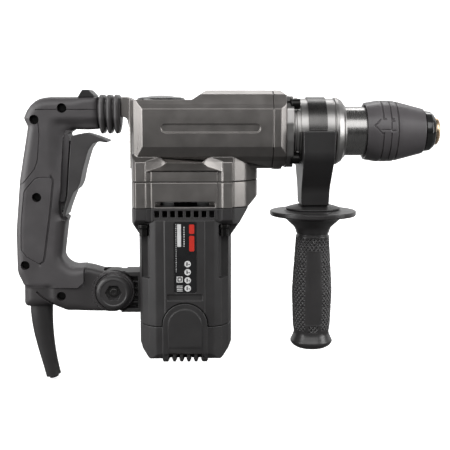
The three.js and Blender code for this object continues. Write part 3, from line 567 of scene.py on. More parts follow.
def neck():
    barrel = lathe("x", (0, 0, 0), [
        (-83.7, 23.5), (-83.7, 33.5, 1), (-81.5, 33.5, 1), (-76.4, 31.4, 2), (-75.4, 29.6, 0.4),
        (-74.2, 29.6, 0.4), (-73.9, 30.6, 0.5), (-71.6, 30.6, 0.5), (-71.3, 29.5, 0.4), (-70.2, 29.5, 0.4),
        (-69.8, 30, 0.4), (-39.6, 30, 0.4), (-39.2, 28.9, 0.3), (-38.4, 28.9, 0.3), (-38, 31.2, 0.8),
        (-35.6, 30.9, 2), (-31, 28.2, 3), (-29.2, 25, 1), (-28.2, 24.6, 0.5), (-28.2, 23.2), (-43, 23.2),
        (-43, 26.2), (-70, 26.2), (-70, 23.5),
    ], 128)
    corner = mirror([(20, 32, 3), (31.5, 21, 5), (34, 8, 12), (34, -8, 12), (31.5, -21, 5), (20, -32, 3)], 0)
    plate = cut(prism("front", corner, -83.7, -77), rod("x", (0, 0, 0), 24, -90, -70))
    holes = [
        rod("x", (0, y, z), radius, foot, -70, 32)
        for y, z in NOSE_SCREWS for radius, foot in ((2.9, -90), (5.7, -79.5))
    ]
    return cut(join(barrel, plate), *holes)


def cap_screw(axis, centre, face, depth, radius, direction):
    """A socket-head screw with a washer. It stands out of face towards direction."""
    low, high = sorted((face, face + direction * depth))
    washer = ring(axis, centre, 2, radius * 1.12, *sorted((face, face + direction * 1.1)), 48)
    head = lathe(axis, centre, [(low, 0), (low, radius, 0.3), (high, radius, 0.7), (high, 0)], 48)
    ends = sorted((high - direction * depth * 0.55, high + direction))
    socket = rod(axis, centre, radius * 0.56, *ends, 6)
    return cut(join(head, washer), socket)


place(gear_housing(), "gear_housing_casting", "housing", "housing_paint", ["gear_housing"], 0.7)
place(front_flange(), "front_flange_casting", "housing", "housing_paint", ["front_flange"], 0.9)
place(neck(), "neck_casting", "housing", "cast_aluminium", ["barrel_housing"], 0.6, 34)
for i, (y, z) in enumerate(NOSE_SCREWS):
    screw = cap_screw("x", (0, y, z), -79.6, 8.4, 4.7, 1)
    place(screw, f"nose_screw_head_{i + 1}", "housing", "black_screw", [f"nose_screw_{i + 1}"], 0.25, 40)
plug = [(-35, 0), (-35, 3.6, 0.5), (-34.6, 4.9, 0.4), (-33.2, 4.9), (-33.2, 2.9), (-28, 2.9), (-28, 0)]
place(lathe("z", PLUG, plug), "bottom_plug", "housing", "black_screw", ["detent_plug"], 0)
dome = [
    (20, 0), (20, 18.5), (28.9, 18.5), (28.9, 21.9), (30.1, 21.9, 0.6), (31, 19.6, 1), (31.4, 17.4, 0.5),
    (30.9, 16.4, 0.4), (31.3, 15.2, 0.5), (32.6, 9, 8), (32.9, 0),
]
dome = lathe("z", (CRANK_X, 0, 0), dome, 128)
place(dome, "grease_cap_moulding", "housing", "gloss_black", ["grease_cap"], 0)

# ---- intermediate housing and motor housing ------------------------------------------------

MOTOR_QUARTER = [
    (17.4, 44.2, 0.8), (18.6, 43.2, 0.6), (26, 42.4, 6), (33, 38.5, 4), (39.4, 30, 8), (42.4, 17, 14),
]
MOTOR_HALF = [(-x, *rest) for x, *rest in reversed(MOTOR_QUARTER)] + MOTOR_QUARTER
MOTOR_PLAN = mirror([(MOTOR_X + x, *rest) for x, *rest in MOTOR_HALF], 1)
MOTOR_BORE = 33
ARCH_Z = CAP_JOINT_Z + 1.6  # middle of the round tops of the motor cap's tongues


def intermediate_housing():
    top, bottom = CASE_JOINT_Z - 0.5, MOTOR_JOINT_Z
    side = [(-230, top), (-100, top), (-108.6, -49), (-108.6, -58.6, 3), (-117.4, bottom), (-230, bottom)]
    shell = common(prism("plan", CASE_PLAN, bottom, top), prism("side", side, -50, 50))
    slot = [(-201, -66.2, 0.5), (-201, -61.5, 1.6), (-147.8, -61.5, 1.6), (-147.8, -66.2, 0.5)]
    lip = cut(
        box((-215.7, -150.3), (-33.7, 33.7), (-46, -40.5)), box((-212.7, -153.3), (-30.7, 30.7), (-47, -39)),
    )
    return cut(join(shell, lip), rod("z", (MOTOR_X, 0, 0), 37, -72, -53), *side_pair(slot, 30, 50))


def arches(radius, low, high, foot):
    """A round-topped upright slab on each side of the motor."""
    return [
        join(rod("y", (MOTOR_X, 0, ARCH_Z), radius, *span(side, low, high), 96),
             box((MOTOR_X - radius, MOTOR_X + radius), span(side, low, high), (foot, ARCH_Z)))
        for side in (-1, 1)
    ]


def motor_housing():
    top = MOTOR_JOINT_Z - 0.4
    slope = [
        (-226, top), (-117.4, top), (-125.4, -80.8, 2), (-134.5, -94), (-214.5, -94), (-221, -84, 3),
        (-223, -80.5),
    ]
    collar = common(
        prism("plan", CASE_PLAN, -94, top), prism("side", slope, -50, 50),
        box((-226, -100), (-42.2, 42.2), (-100, -60)),
    )
    under = [(60, -77.5), (42.6, -77.5), (38, -82), (31, -82), (31, -99), (60, -99)]
    collar = cut(collar, *front_pair(under, -230, -193.6), *front_pair(under, -156.4, -100))
    details = [
        *side_pair(rect((-191, -159), (-150.6, -145), 1), 42.8, 46),
        *side_pair(rect((-184.4, -164.4), (-143.6, -79.4), 1.5), 43.7, 46),
        *arches(20.8, 38, 50, CAP_JOINT_Z - 5),
    ]
    for x in (MOTOR_X - 24.6 + 7 * i for i in range(8)):
        details += side_pair(rect((x - 2.2, x + 2.2), (-75.4, -69.6), 0.6), 31, 60)
    for x in BOSS_X:
        details += [
            prism("plan", [(x - 5, y, 3), (x + 5, y, 3), (x + 5, 2 * y), (x - 5, 2 * y)], -131, -82)
            for y in (-30, 30)
        ]
    body = join(collar, prism("plan", MOTOR_PLAN, CAP_JOINT_Z + 0.4, -78, 6))
    rooms = [rod("z", (MOTOR_X, 0, 0), 36.5, -92, -60), rod("z", (MOTOR_X, 0, 0), MOTOR_BORE, -180, -90)]
    return cut(body, *details, *rooms)


def tongues(radius, high, foot):
    """The round-topped tabs of the motor cap, leaning in towards their foot."""
    lean = [(30, -140), (high, -140), (high, foot + 7, 6), (high - 2.6, foot), (30, foot)]
    return [common(*both) for both in zip(arches(radius, 40, high, foot), front_pair(lean, -230, -120))]


def right_then_left(pairs):
    """All the right-hand solids of the pairs, then all the left-hand ones."""
    return [solid for side in zip(*pairs) for solid in side]


def motor_cap():
    top, under = CAP_JOINT_Z - 0.1, BASE_Z + 2
    side = [
        (-220, top), (-130, top), (-132.6, -194.6, 4), (-142, under, 5), (-208, under, 5),
        (-217.4, -194.6, 4),
    ]
    front = mirror([(-46, top), (-45, -196, 4), (-40, under, 4)], 0)
    cup = common(
        prism("plan", MOTOR_PLAN, under - 1, top), prism("side", side, -50, 50),
        prism("front", front, -230, -120),
    )
    foot = box((MOTOR_X - 20, MOTOR_X + 20), (-40.5, 40.5), (BASE_Z + 1.6, BASE_Z + 5))
    pits = side_pair(rect((MOTOR_X - 15.2, MOTOR_X + 15.2), (-220, -199)), 41, 60)
    tabs = right_then_left([tongues(20.2, 45.2, BASE_Z + 1.6), tongues(15.2, 46.1, BASE_Z + 7.6)])
    shell = cut(join(cup, *tabs, foot), *pits)
    rib = [(37, -199.4), (44.6, -199.4, 0.6), (43.8, BASE_Z + 2.6, 1), (41.8, BASE_Z, 1), (37, BASE_Z)]
    spread = [(MOTOR_X + 6.5 * i, 1.45) for i in (-1.5, -0.5, 0.5, 1.5)]
    spread += [(MOTOR_X - 17.5, 2.4), (MOTOR_X + 17.5, 2.4)]
    ribs = right_then_left([front_pair(rib, x - half, x + half) for x, half in spread])
    slots = []
    for x in (MOTOR_X - 13 + 6.5 * i for i in range(5)):
        slot = [(x - 1.75, BASE_Z - 2), (x - 1.75, -200, 0.4), (x + 1.75, -200, 0.4), (x + 1.75, BASE_Z - 2)]
        slots.append(side_pair(slot, 34.6, 60))
    bore = rod("z", (MOTOR_X, 0, 0), MOTOR_BORE, -203, top + 1)
    return cut(join(shell, *ribs), bore, *right_then_left(slots))


def pivot_bracket():
    side = [
        (-214, -129.8), (-236.8, -129.8, 0.6), (-243.2, -139, 0.5), (-243.2, -158, 0.5), (-236.8, -168, 0.6),
        (-214, -168),
    ]
    windows = side_pair(rect((-246, -219.4), (-164.4, -133.8), 1), 4, 20)
    beam = cut(prism("side", side, -ARM_HALF, ARM_HALF), *windows)
    ribs = [box((-229, -217), (-9.5, 9.5), (z - 0.9, z + 0.9)) for z in (-140, -146.5, -153, -159.5)]
    room = [rod("y", PIVOT, 20.8, *span(side, 8.3, 30), 96) for side in (-1, 1)]
    beam = cut(join(beam, *ribs), *room)
    return cut(join(beam, rod("y", PIVOT, 19.2, -8.2, 8.2)), rod("y", PIVOT, 5.4, -30, 30))


middle = intermediate_housing()
place(middle, "intermediate_casting", "housing", "housing_paint", ["intermediate_housing"], 0.7)
place(motor_housing(), "motor_housing_moulding", "housing", "motor_plastic", ["motor_housing"], 0.6)
place(pivot_bracket(), "pivot_bracket_moulding", "housing", "motor_plastic", [], 0.5)
place(motor_cap(), "motor_cap_moulding", "housing", "motor_plastic", ["motor_cap"], 0.7)
for i, (x, side) in enumerate((x, side) for x in BOSS_X for side in (-1, 1)):
    axis = (x, side * 35.6, 0)
    screw = join(cap_screw("z", axis, -85, 7.6, 4.3, -1), ring("z", axis, 2, 5, -85, -82.2, 48))
    place(screw, f"motor_screw_head_{i + 1}", "housing", "black_screw", [f"motor_screw_{i + 1}"], 0.25, 40)

# ---- rating plate, with generic blocks and marks -------------------------------------------

PRINT = (-44.06, -43.9)  # from the face of the print to just inside the plate


def printed(name, look, shapes, holes=()):
    """Flat printed shapes just proud of the rating plate, with holes in them. Each is an outline in XZ."""
    film = join(*[prism("side", shape, *PRINT) for shape in shapes])
    place(cut(film, *[prism("side", hole, -45, -43) for hole in holes]), name, "housing", look, [], 0)


def bar(x, z, wide, high, corner=0.2):
    return rect((x - wide / 2, x + wide / 2), (z - high / 2, z + high / 2), corner)


plate = prism("side", rect((-184, -164.8), (-143.2, -79.8), 1.5), -44, -43.5)
place(plate, "rating_plate", "housing", "label_film", [], 0)
printed("plate_block_red", "print_red", [bar(-168.6, -85.5, 4.6, 8.4, 1), bar(-168.6, -98.5, 4.6, 14, 1)])
white, marks = [bar(-179.8, -91.2, 3.4, 20.4, 0.3)], []
for z in (-117, -124.4, -131.8, -139.2):
    white.append(circle(-172.4, z, 2.9, 40))
    marks += [bar(-172.9, z, 1.1, 3.2), circle(-171.1, z - 0.4, 0.6, 40)]
white += [bar(-175.4, -84 - 2.1 * i, 0.9, 1.5 - 0.3 * (i % 3)) for i in range(9)]
white += [bar(-182.6, -81.5 - 1.7 * i, 0.5, 1.1 - 0.25 * (i % 2)) for i in range(26)]
white += [bar(-179.6, -137 - 1.5 * i, 5.2, 0.7) for i in range(4)]
printed("plate_print_white", "print_white", white, marks)
squares = [bar(-179.6, -131, size, size, corner) for size, corner in ((5.4, 0.3), (3.9, 0.2), (2.0, 0.2))]
frame_print = cut(prism("side", squares[0], *PRINT), prism("side", squares[1], -45, -43))
place(join(frame_print, prism("side", squares[2], *PRINT)), "plate_square", "housing", "print_white", [], 0)

# ---- chuck ---------------------------------------------------------------------------------


def dense(points, spacing, closed=False, step=9.0):
    """A profile or outline with a point at least every spacing."""
    corners = fillet(points, step, closed)
    ends, made = corners[1:] + corners[:1] if closed else corners[1:], []
    for (ax, ay), (bx, by) in zip(corners, ends):
        parts = max(1, math.ceil(math.hypot(bx - ax, by - ay) / spacing))
        made += [(ax + (bx - ax) * k / parts, ay + (by - ay) * k / parts) for k in range(parts)]
    return made if closed else made + corners[-1:]


def groove(distance, half, depth):
    """How deep a round-bottomed groove is at a distance from its middle."""
    return depth * np.sqrt(np.clip(1 - (distance / half) ** 2, 0, 1))


def to_segment(x, y, start, end):
    """Distance from points to a line segment."""
    (ax, ay), (bx, by) = start, end
    run = (bx - ax) ** 2 + (by - ay) ** 2
    t = np.clip(((x - ax) * (bx - ax) + (y - ay) * (by - ay)) / run, 0, 1)
    return np.hypot(x - ax - t * (bx - ax), y - ay - t * (by - ay))


SLEEVE_GROOVES = (4.6, 11.6, 18.2)
ARROW = [
    ((-3.4, 0), (1.6, -5.6)), ((-3.4, 0), (3.4, 7.6)), ((2.6, 3.6), (10.6, 3.6)), ((4.6, -6.4), (6.6, -6.4)),
    ((11.6, -6.4), (14, -6.4)), ((11.6, -4), (11.6, 3.6)), ((11.6, 4.6), (15, 4.6)),
    ((11.6, -4), (14.6, -4)),
]


def sleeve_relief(along, angle, radius):
    """Grip grooves round the sleeve. The first two stop short of an arrow on each side."""
    around = (np.mod(angle - math.pi + 0.2 + math.pi / 2, math.pi) - math.pi / 2) * 28
    depth = np.zeros_like(along)
    for i, x in enumerate(SLEEVE_GROOVES):
        here = groove(along - x, 0.75, 1.3)
        depth = np.maximum(depth, here if i == 2 else np.where(np.abs(around) > 6.4, here, 0))
    for start, end in ARROW:
        depth = np.maximum(depth, groove(to_segment(along, around, start, end), 0.6, 0.9))
    return np.where((radius > 20.5) & (along > -8), depth, 0)


outer = [(-9, 24.4), (-9.4, 26.2, 0.4), (2, 28.2, 12), (16, 28.2, 40), (44.9, 20.6, 1), (45, 19.6)]
inner = [(45, 14.4), (32, 14.4), (23.5, 11.5), (16, 11.5), (16, 23.2), (8, 24)]
sleeve = lathe("x", (0, 0, 0), [(-8.6, 24), *dense(outer, 0.42), *inner], 336, relief=sleeve_relief)
place(sleeve, "chuck_sleeve_moulding", "chuck_sleeve", "sleeve_plastic", ["chuck_sleeve"], 0, 40)
cap = [(46.1, 11.4), (46.1, 18.8, 0.4), (51.6, 18.1, 1.5), (54.6, 15.8, 0.8), (56, 13.6, 0.4), (56, 11.4)]
place(lathe("x", (0, 0, 0), cap, 144), "dust_cap_moulding", "spindle", "gloss_black", ["dust_cap"], 0)
barrel = lathe("x", (0, 0, 0), [
    (-137, 14.8), (-137, 17.5), (-47, 17.5), (-45, 22.6), (0.6, 22.6, 0.6), (3, 11), (57.6, 11),
    (57.6, BIT_BORE), (-10, BIT_BORE), (-12, 9.6), (-34, 9.6), (-38, 14.8),
], 128)
windows = [rod("y", (24, 0, 0), 3.65, low, low + 9, 32) for low in (-13, 4)]
place(cut(barrel, *windows), "spindle_barrel", "spindle", "bright_steel", ["spindle"], 0)
tip = [(56.5, 11.2), (56.5, 12.7, 0.3), (58.4, 12.7, 0.8), (60, 10.8, 0.5), (60, 7.2, 0.4), (57.9, 5.1)]
place(lathe("x", (0, 0, 0), tip, 96), "spindle_tip_ring", "spindle", "brass", [], 0)

# ---- side handle ---------------------------------------------------------------------------

COLLAR, BOLT_HOLE = 30.25, 4.4  # radii


def yoke():
    front = mirror([(43.5, 1, 1), (43.5, -22, 14), (19.5, -52, 16), (17, -70)], 0)
    side = [(-69.8, 2), (-40.6, 2), (-42.8, -68), (-68.2, -68)]
    body = common(prism("front", front, -80, -30), prism("side", side, -50, 50))
    base = lathe("z", (SIDE_X, 0, 0), [
        (-72.5, 0), (-72.5, 25.4, 0.6), (-71.1, 25.4, 0.8), (-69.8, 21.5, 1.5), (-68.6, 17), (-68.6, 0),
    ], 96)
    band = (SIDE_X - 8, SIDE_X + 9)
    rooms = [rod("x", (0, 0, 0), COLLAR, -80, -30, 96), ring("x", (0, 0, 0), 20, 32, *band)]
    rooms += [box(band, span(side, 29.6, 32.2), (-31, 3)) for side in (-1, 1)]
    return cut(join(body, base), *rooms, rod("z", (SIDE_X, 0, 0), BOLT_HOLE, -80, -20, 32))


KNURL_STARTS, KNURL_LEAD = 28, 4.6


def knurl(along, angle, radius):
    """Crossed ridges over the grip, with a plain panel on the near and far sides."""
    turn = angle * KNURL_STARTS / (2 * math.pi)
    waves = [np.abs(np.mod(turn + s * along / KNURL_LEAD, 1) - 0.5) * 2 for s in (-1, 1)]
    crossed = 1.1 * np.minimum(*[np.clip((w - 0.12) / 0.4, 0, 1) for w in waves])
    aside = np.clip((0.9 - np.abs(np.sin(angle))) / 0.02, 0, 1)
    patch = np.where((along > -188.5) & (along < -182) & (np.abs(np.cos(angle)) < 0.25), 1.0, 0.0)
    band = np.where((along > -110.5) & (along < -99), 1.0, 0.0)
    flanks = np.where((along > -187) & (along < -99), aside, 0.0)
    depth = crossed * np.maximum(np.maximum(patch, band), flanks)
    for z in (-123, -144, -164):
        depth = np.maximum(depth, groove(along - z, 0.6, 0.7) * aside)
    plain = 0.25 * np.where((along > -181) & (along < -111), 1 - aside, 0)
    return np.where((radius < 21) & (along < -98) & (along > -190), np.maximum(depth, plain), 0)


def grip():
    outer = dense([
        (-204.8, 9), (-204.8, 14.4, 3), (-202.6, 18, 6), (-199, 20.3, 2.5), (-196, 18.6, 6),
        (-190.6, 16.3, 8), (-184, 17.6, 30), (-150, 19.0, 120), (-97.4, 15.6, 0.8), (-96.8, 14.7, 0.5),
        (-95.4, 14.7, 0.6), (-94.9, 15.4, 0.6), (-90, 16.6, 14), (-80.4, 27, 12), (-78.3, 39.8, 0.8),
        (-77.4, 40.3, 0.6), (-74.5, 40.3, 0.6), (-74, 39.7, 0.5), (-74, 27.4),
    ], 0.5)
    inner = [(-73, 26.6, 0.4), (-73, BOLT_HOLE), (-142, BOLT_HOLE), (-142, 0)]
    return lathe("z", (SIDE_X, 0, 0), [(-204.8, 0), *outer, *inner], 240, relief=knurl)


place(yoke(), "yoke_moulding", "side_clamp", "black_plastic", ["yoke"], 1.3, 34, 3)
loop = lathe("x", (SIDE_X, 0, 0), [(-8, COLLAR), (-8, 31.4, 0.3), (8.8, 31.4, 0.3), (8.8, COLLAR)], 128)
tails = [box((SIDE_X - 7.5, SIDE_X + 8.5), span(side, 30.3, 31.5), (-29.8, 2)) for side in (-1, 1)]
band = join(cut(loop, box((-80, -30), (-50, 50), (-50, 0))), *tails)
place(band, "clamp_band_strip", "side_clamp", "dark_steel", ["clamp_band"], 0.2)
place(grip(), "side_grip_moulding", "side_grip", "grip_rubber", ["grip"], 0, 40)

# ---- mode knob -----------------------------------------------------------------------------


def knob_flutes(along, angle, radius):
    """Fine flutes round the knob's rim."""
    return np.where((radius > 15.5) & (along > 42.6) & (along < 45.6), 0.35 * (1 + np.cos(angle * 36)), 0)


KNOB_X = KNOB[0]
rim = dense([(42.3, 17), (45, 17, 0.5), (46, 15.8)], 0.5)
dial = lathe("y", KNOB, [(42.3, 0), *rim, (46, 0)], 288, relief=knob_flutes)
thumb = prism("side", [
    (KNOB_X - 14, -2, 2), (KNOB_X - 14, 6, 2), (KNOB_X + 10, 6.4, 2), (KNOB_X + 15, 2, 1.5),
    (KNOB_X + 10, -2.4, 2),
], 45, 53)
waist = prism("plan", [(KNOB_X - 20, 47.5), (KNOB_X - 20, 60), (KNOB_X - 13, 60)], -20, 20)
knob = join(dial, cut(thumb, waist), rod("y", KNOB, 5.6, 30, 43, 32))
place(knob, "mode_knob_moulding", "mode_knob", "black_plastic", ["mode_knob"], 0.6, 40)
pointer = [(KNOB_X + 6, 1.2), (KNOB_X + 6, 2.8), (KNOB_X + 13, 2.3), (KNOB_X + 13, 1.7)]
place(prism("side", pointer, 52.9, 53.12), "mode_knob_pointer", "mode_knob", "print_white", [], 0)

# ---- rear handle ---------------------------------------------------------------------------

GRIP_HALF = 18.5
HANDLE = [
    (-253.9, 31.3), (-296, 31.3, 8), (-301.4, 30.8, 6), (-306.2, 29.7, 6), (-310.5, 27.5, 6),
    (-314.7, 23.9, 6), (-318, 19.4, 6), (-321.3, 12.2, 4), (-317.7, 4.6, 3), (-326.5, -44, 60),
    (-331.2, -92, 60), (-331.2, -130, 20), (-326.4, -140.4, 4), (-327, -163.3, 4), (-298, -161.4, 4),
    (-286, -166.9, 12), (PIVOT_X + 2, -167.6, 14), (PIVOT_X + 18.6, -160, 13), (PIVOT_X + 18.6, -137, 13),
    (PIVOT_X + 3, -129.8, 12), (-252, -129.2, 10), (-266, -125.1, 30), (-281, -125.1, 12),
    (-290, -118, 10), (-285.4, -84, 10), (-283.4, -79.6, 1), (-289.6, -75), (-285.6, -63), (-283.2, -56),
    (-279, -48), (-277.4, -35), (-275, -21), (-271, -10.5), (-279, -8.4), (-281.6, -1.4, 2.4),
    (-276, 1.9, 5), (-263, 1.7, 8), (-253.9, 2.2),
]
STRIP = [
    (-283, 1.5), (-286, -6), (-287.7, -30), (-288.6, -52), (-290.9, -64), (-290.9, -76, 3),
    (-287.7, -81.4, 3), (-280, -83.2), (-240, -82), (-240, 1.5),
]
POCKET = [(-290.9, -64, 2), (-290.9, -76, 4), (-287, -82, 4), (-270, -83), (-270, -66), (-287, -64)]
ARM = [
    (-269.3, -100), (-269.3, -138.5, 3), (-274.9, -143.7, 2), (-304, -143.7), (-304, -190), (-200, -190),
    (-200, -100),
]
# Each region with the width of the step at its edge.
REGIONS = [(fillet(STRIP), 0.9), (fillet(POCKET), 0.7), (fillet(ARM), 0.8)]
SCREWS = [(-285.6, 21.3), (-310.7, 11), (-310.4, -59.6), (-322.8, -122.6), (-290.5, -152)]
SCREW_PIT = 4.35  # radius
EAR = 20.2  # radius of the recess for the pivot cap
EDGE_ROWS = (0.25, 0.8, 1.7, 2.9, 4.3, 5.9, 7.5, 8.6)  # distances of the rows of points beside the outline
GRID = 1.7
# Half width, depth and line of each groove.
SEAM_LINES = [
    (0.55, 1.1, [(-308.5, 20), (-254.4, 20)]),
    (0.5, 0.9, [
        (-307.1, 8.3), (-306.4, -2.8), (-308.5, -25.4, 12), (-311.2, -33.5, 12), (-321.3, -45.4),
        (-326, -49),
    ]),
    (0.5, 0.9, [
        (-308.8, -121.4), (-320.7, -114.6), (-326, -108, 4), (-325.3, -84.8, 40), (-321.7, -54, 8),
        (-311.3, -42.2, 6), (-306.7, -41.2, 4), (-296.5, -41.2, 3),
    ]),
    (1.15, 1.5, [
        (-296.5, -41.2), (-294.8, -44.5, 2), (-298.6, -75.7), (-304.2, -112.8), (-305.6, -119.4, 2),
        (-308.8, -121.4),
    ]),
    (1.1, 2.0, [(-312.5, -148.4), (-306, -154.4), (-299, -159.6)]),
    (0.9, 3.0, [(-279.6, -10), (-281.4, -30), (-283.6, -58), (-287.4, -74)]),
]
SEAMS = [(half, depth, fillet(line, closed=False)) for half, depth, line in SEAM_LINES]


def inside(points, outline):
    """Which of the points lie inside an outline."""
    x, y, hit = points[:, 0], points[:, 1], np.zeros(len(points), bool)
    for (ax, ay), (bx, by) in zip(outline, outline[1:] + outline[:1]):
        crosses = (ay > y) != (by > y)
        hit ^= crosses & (x < (bx - ax) * (y - ay) / (by - ay + 1e-12) + ax)
    return hit


def to_line(points, line, closed=False):
    """Distance from points to a polyline."""
    ends = line[1:] + line[:1] if closed else line[1:]
    return np.min([to_segment(points[:, 0], points[:, 1], a, b) for a, b in zip(line, ends)], axis=0)


def stepped(points, region, width):
    """1 well inside a region and 0 outside, with a ramp of this width on the inside of its edge."""
    return np.where(inside(points, region), np.clip(to_line(points, region, True) / width, 0, 1), 0)


def smooth(low, high, value):
    t = np.clip((value - low) / (high - low), 0, 1)
    return t * t * (3 - 2 * t)


def from_point(points, x, z):
    return np.hypot(points[:, 0] - x, points[:, 1] - z)


def handle_height(points, outline):
    """Half thickness of the rear handle over the XZ plane."""
    x, z = points[:, 0], points[:, 1]
    in_strip, in_pocket, in_arm = [stepped(points, *region) for region in REGIONS]
    top = np.full(len(points), GRIP_HALF)
    chamfer = np.minimum(0.78 * np.maximum(12.6 - z, 0), 4.6)
    top -= chamfer * smooth(-299, -286, x) * smooth(-58, -6, z)
    top -= in_arm * (2.6 * smooth(-306, -276, x) + 1.6 * smooth(-280, -262, x))
    boot = np.where(z < -140.5, smooth(-140.5, -144, z), 0) * smooth(-296, -306, x)
    top -= boot * (1.5 + 6 * np.clip(np.abs(x + 312) / 15, 0, 1) ** 2.5)
    ear = from_point(points, PIVOT_X, PIVOT_Z)
    top = np.where(ear < EAR, 16.1 - groove(ear - 17.2, 0.8, 1.2), top)
    radius = 8.5 - 3.5 * smooth(-280, -262, x)
    past_edge = np.clip(radius - to_line(points, outline, True), 0, radius)
    top -= (radius - np.sqrt(np.clip(radius ** 2 - past_edge ** 2, 0, None))) * (1 - in_strip)
    top = np.where(in_strip > 0, np.minimum(top, GRIP_HALF - (GRIP_HALF - 12.4) * in_strip), top)
    top -= 3.2 * in_pocket
    for half, depth, line in SEAMS:
        top -= groove(to_line(points, line), half, depth)
    for screw in SCREWS:
        top = np.where(from_point(points, *screw) < SCREW_PIT, np.minimum(top, 9.6), top)
    return np.maximum(top, 1.5)


def beside(line, offsets, spacing):
    """Rows of points along both sides of a polyline."""
    made = []
    for (ax, ay), (bx, by) in zip(line, line[1:]):
        length = math.hypot(bx - ax, by - ay)
        if length < 1e-6:
            continue
        count = max(1, round(length / spacing))
        nx, ny = -(by - ay) / length, (bx - ax) / length
        for d in sorted({s * o for o in offsets for s in (-1, 1)}):
            shares = [k / count for k in range(count + 1)]
            made.append([(ax + (bx - ax) * t + nx * d, ay + (by - ay) * t + ny * d) for t in shares])
    return made


def handle_plan(outline):
    """Points for the handle's surface: its edge, rows beside edges and grooves, and a grid between them."""
    edge = np.array(outline)
    run = np.roll(edge, -1, 0) - np.roll(edge, 1, 0)
    normal = np.stack([-run[:, 1], run[:, 0]], 1) / np.linalg.norm(run, axis=1)[:, None]
    if not inside(edge[:1] + normal[:1] * 0.2, outline)[0]:
        normal = -normal
    rows = [edge + normal * d for d in EDGE_ROWS]
    rows = [row[to_line(row, outline, True) > d - 0.08] for row, d in zip(rows, EDGE_ROWS)]
    features = []
    for half, _, line in SEAMS:
        features += beside(line, (0, half * 0.5, half * 0.86, half), 0.7)
    for loop, width in REGIONS:
        features += beside(loop + loop[:1], (0, width), 0.9)
    features += [circle(*screw, SCREW_PIT + d, 36) for screw in SCREWS for d in (-0.35, -0.02, 0.02, 0.35)]
    for radius in (16.3, 16.7, 17.2, 17.7, 18.1, EAR - 0.05, EAR + 0.05, 21.3, 21.5):
        features.append(circle(PIVOT_X, PIVOT_Z, radius, int(radius * 6.5)))
    features = np.concatenate([np.array(f) for f in features])
    spans = [np.arange(low, high, GRID) for low, high in zip(edge.min(0), edge.max(0))]
    grid = np.stack(np.meshgrid(*spans), -1).reshape(-1, 2)
    grid[:, 0] += GRID / 2 * (np.round(grid[:, 1] / GRID) % 2)
    loose = np.concatenate([*rows, grid[to_line(grid, outline, True) > 9.2]])
    keep = np.ones(len(loose), bool)
    for half, _, line in SEAMS:
        keep &= to_line(loose, line) > half + 0.35
    for screw in SCREWS:
        keep &= from_point(loose, *screw) > 5.0
    features = features[inside(features, outline)]
    return np.concatenate([edge, features[to_line(features, outline, True) > 0.2], loose[keep]])


def handle_shell(side, points, faces, outline):
    """One moulded half of the rear handle: its outer surface, a flat inner face and the rim between them."""
    inner = np.where(from_point(points, PIVOT_X, PIVOT_Z) < 21.4, 8.8, 0.15)
    n = len(points)
    heights = np.concatenate([handle_height(points, outline), inner])
    vertices = [(x, side * y, z) for (x, z), y in zip(np.concatenate([points, points]), heights)]
    made = faces + [[n + i for i in reversed(f)] for f in faces]
    directed = {(a, b) for f in faces for a, b in zip(f, f[1:] + f[:1])}
    made += [(b, a, n + a, n + b) for a, b in sorted(directed) if (b, a) not in directed]
    return mesh_object(vertices, made)


edge = dense(HANDLE, 1.3, closed=True, step=6)
plan = handle_plan(edge)
rim = [(i, (i + 1) % len(edge)) for i in range(len(edge))]
plan, _, triangles, *_ = delaunay_2d_cdt([tuple(p) for p in plan], rim, [], 1, 0.02)
plan, triangles = np.array([tuple(p) for p in plan]), [list(f) for f in triangles]
for side, name in ((-1, "right"), (1, "left")):
    shell = handle_shell(side, plan, triangles, edge)
    place(shell, f"handle_{name}_moulding", "rear_handle", "handle_plastic", [f"handle_shell_{name}"], 0, 30)
for i, (x, z) in enumerate(SCREWS, 1):
    screw = cap_screw("y", (x, 0, z), -9.7, 2.6, 3.5, -1)
    place(screw, f"handle_screw_head_{i}", "rear_handle", "black_screw", [f"handle_screw_{i}"], 0.2, 40)

TRIGGER = [
    (-279.2, -4.2, 3), (-272, -2.2, 5), (-265.4, -1.3, 5), (-256.4, -3.9, 20), (-245.2, -8.2, 0.6),
    (-245.6, -9.9, 0.6), (-252, -8.8, 8), (-258.2, -10.4, 4), (-262.4, -16.5, 8), (-264.6, -23, 12),
    (-268, -34.7, 30), (-270.6, -46.6, 10), (-273.2, -52, 5), (-276.8, -55, 5), (-280.2, -63, 10),
    (-283.4, -71.5, 8), (-285, -77.4, 1), (-287, -77.4, 1), (-282.4, -58), (-280.2, -30), (-278.2, -9, 3),
]
TRIGGER_ROOM = [
    (-300, 4), (-271, 4), (-271, -5), (-263.4, -10), (-265.6, -17), (-267.2, -23), (-270.6, -35),
    (-273.2, -47.6), (-278.8, -56.4), (-282.4, -63.6), (-287, -79), (-300, -79),
]
blade = cut(prism("side", TRIGGER, -17, 17, 6), prism("side", TRIGGER_ROOM, -15, 15))
place(blade, "trigger_moulding", "trigger", "trigger_plastic", ["trigger"], 0.45, 34)
ridge = [(-271.5, 30.9), (-267.2, 37.6, 1.2), (-261.6, 37.8, 1.2), (-256.8, 33, 0.8), (-256.6, 30.9)]
ribs = [prism("side", rect((x - 0.4, x + 0.4), (35, 40)), -13, 13) for x in (-266, -264.4, -262.8)]
slider = join(cut(prism("side", ridge, -16.5, 16.5), *ribs), box((-268, -262), (-3, 3), (26, 31.4)))
place(slider, "lock_slider_moulding", "lock_slider", "black_plastic", ["lock_slider"], 0.7, 34)

# ---- pivot caps, bellows and cord ----------------------------------------------------------

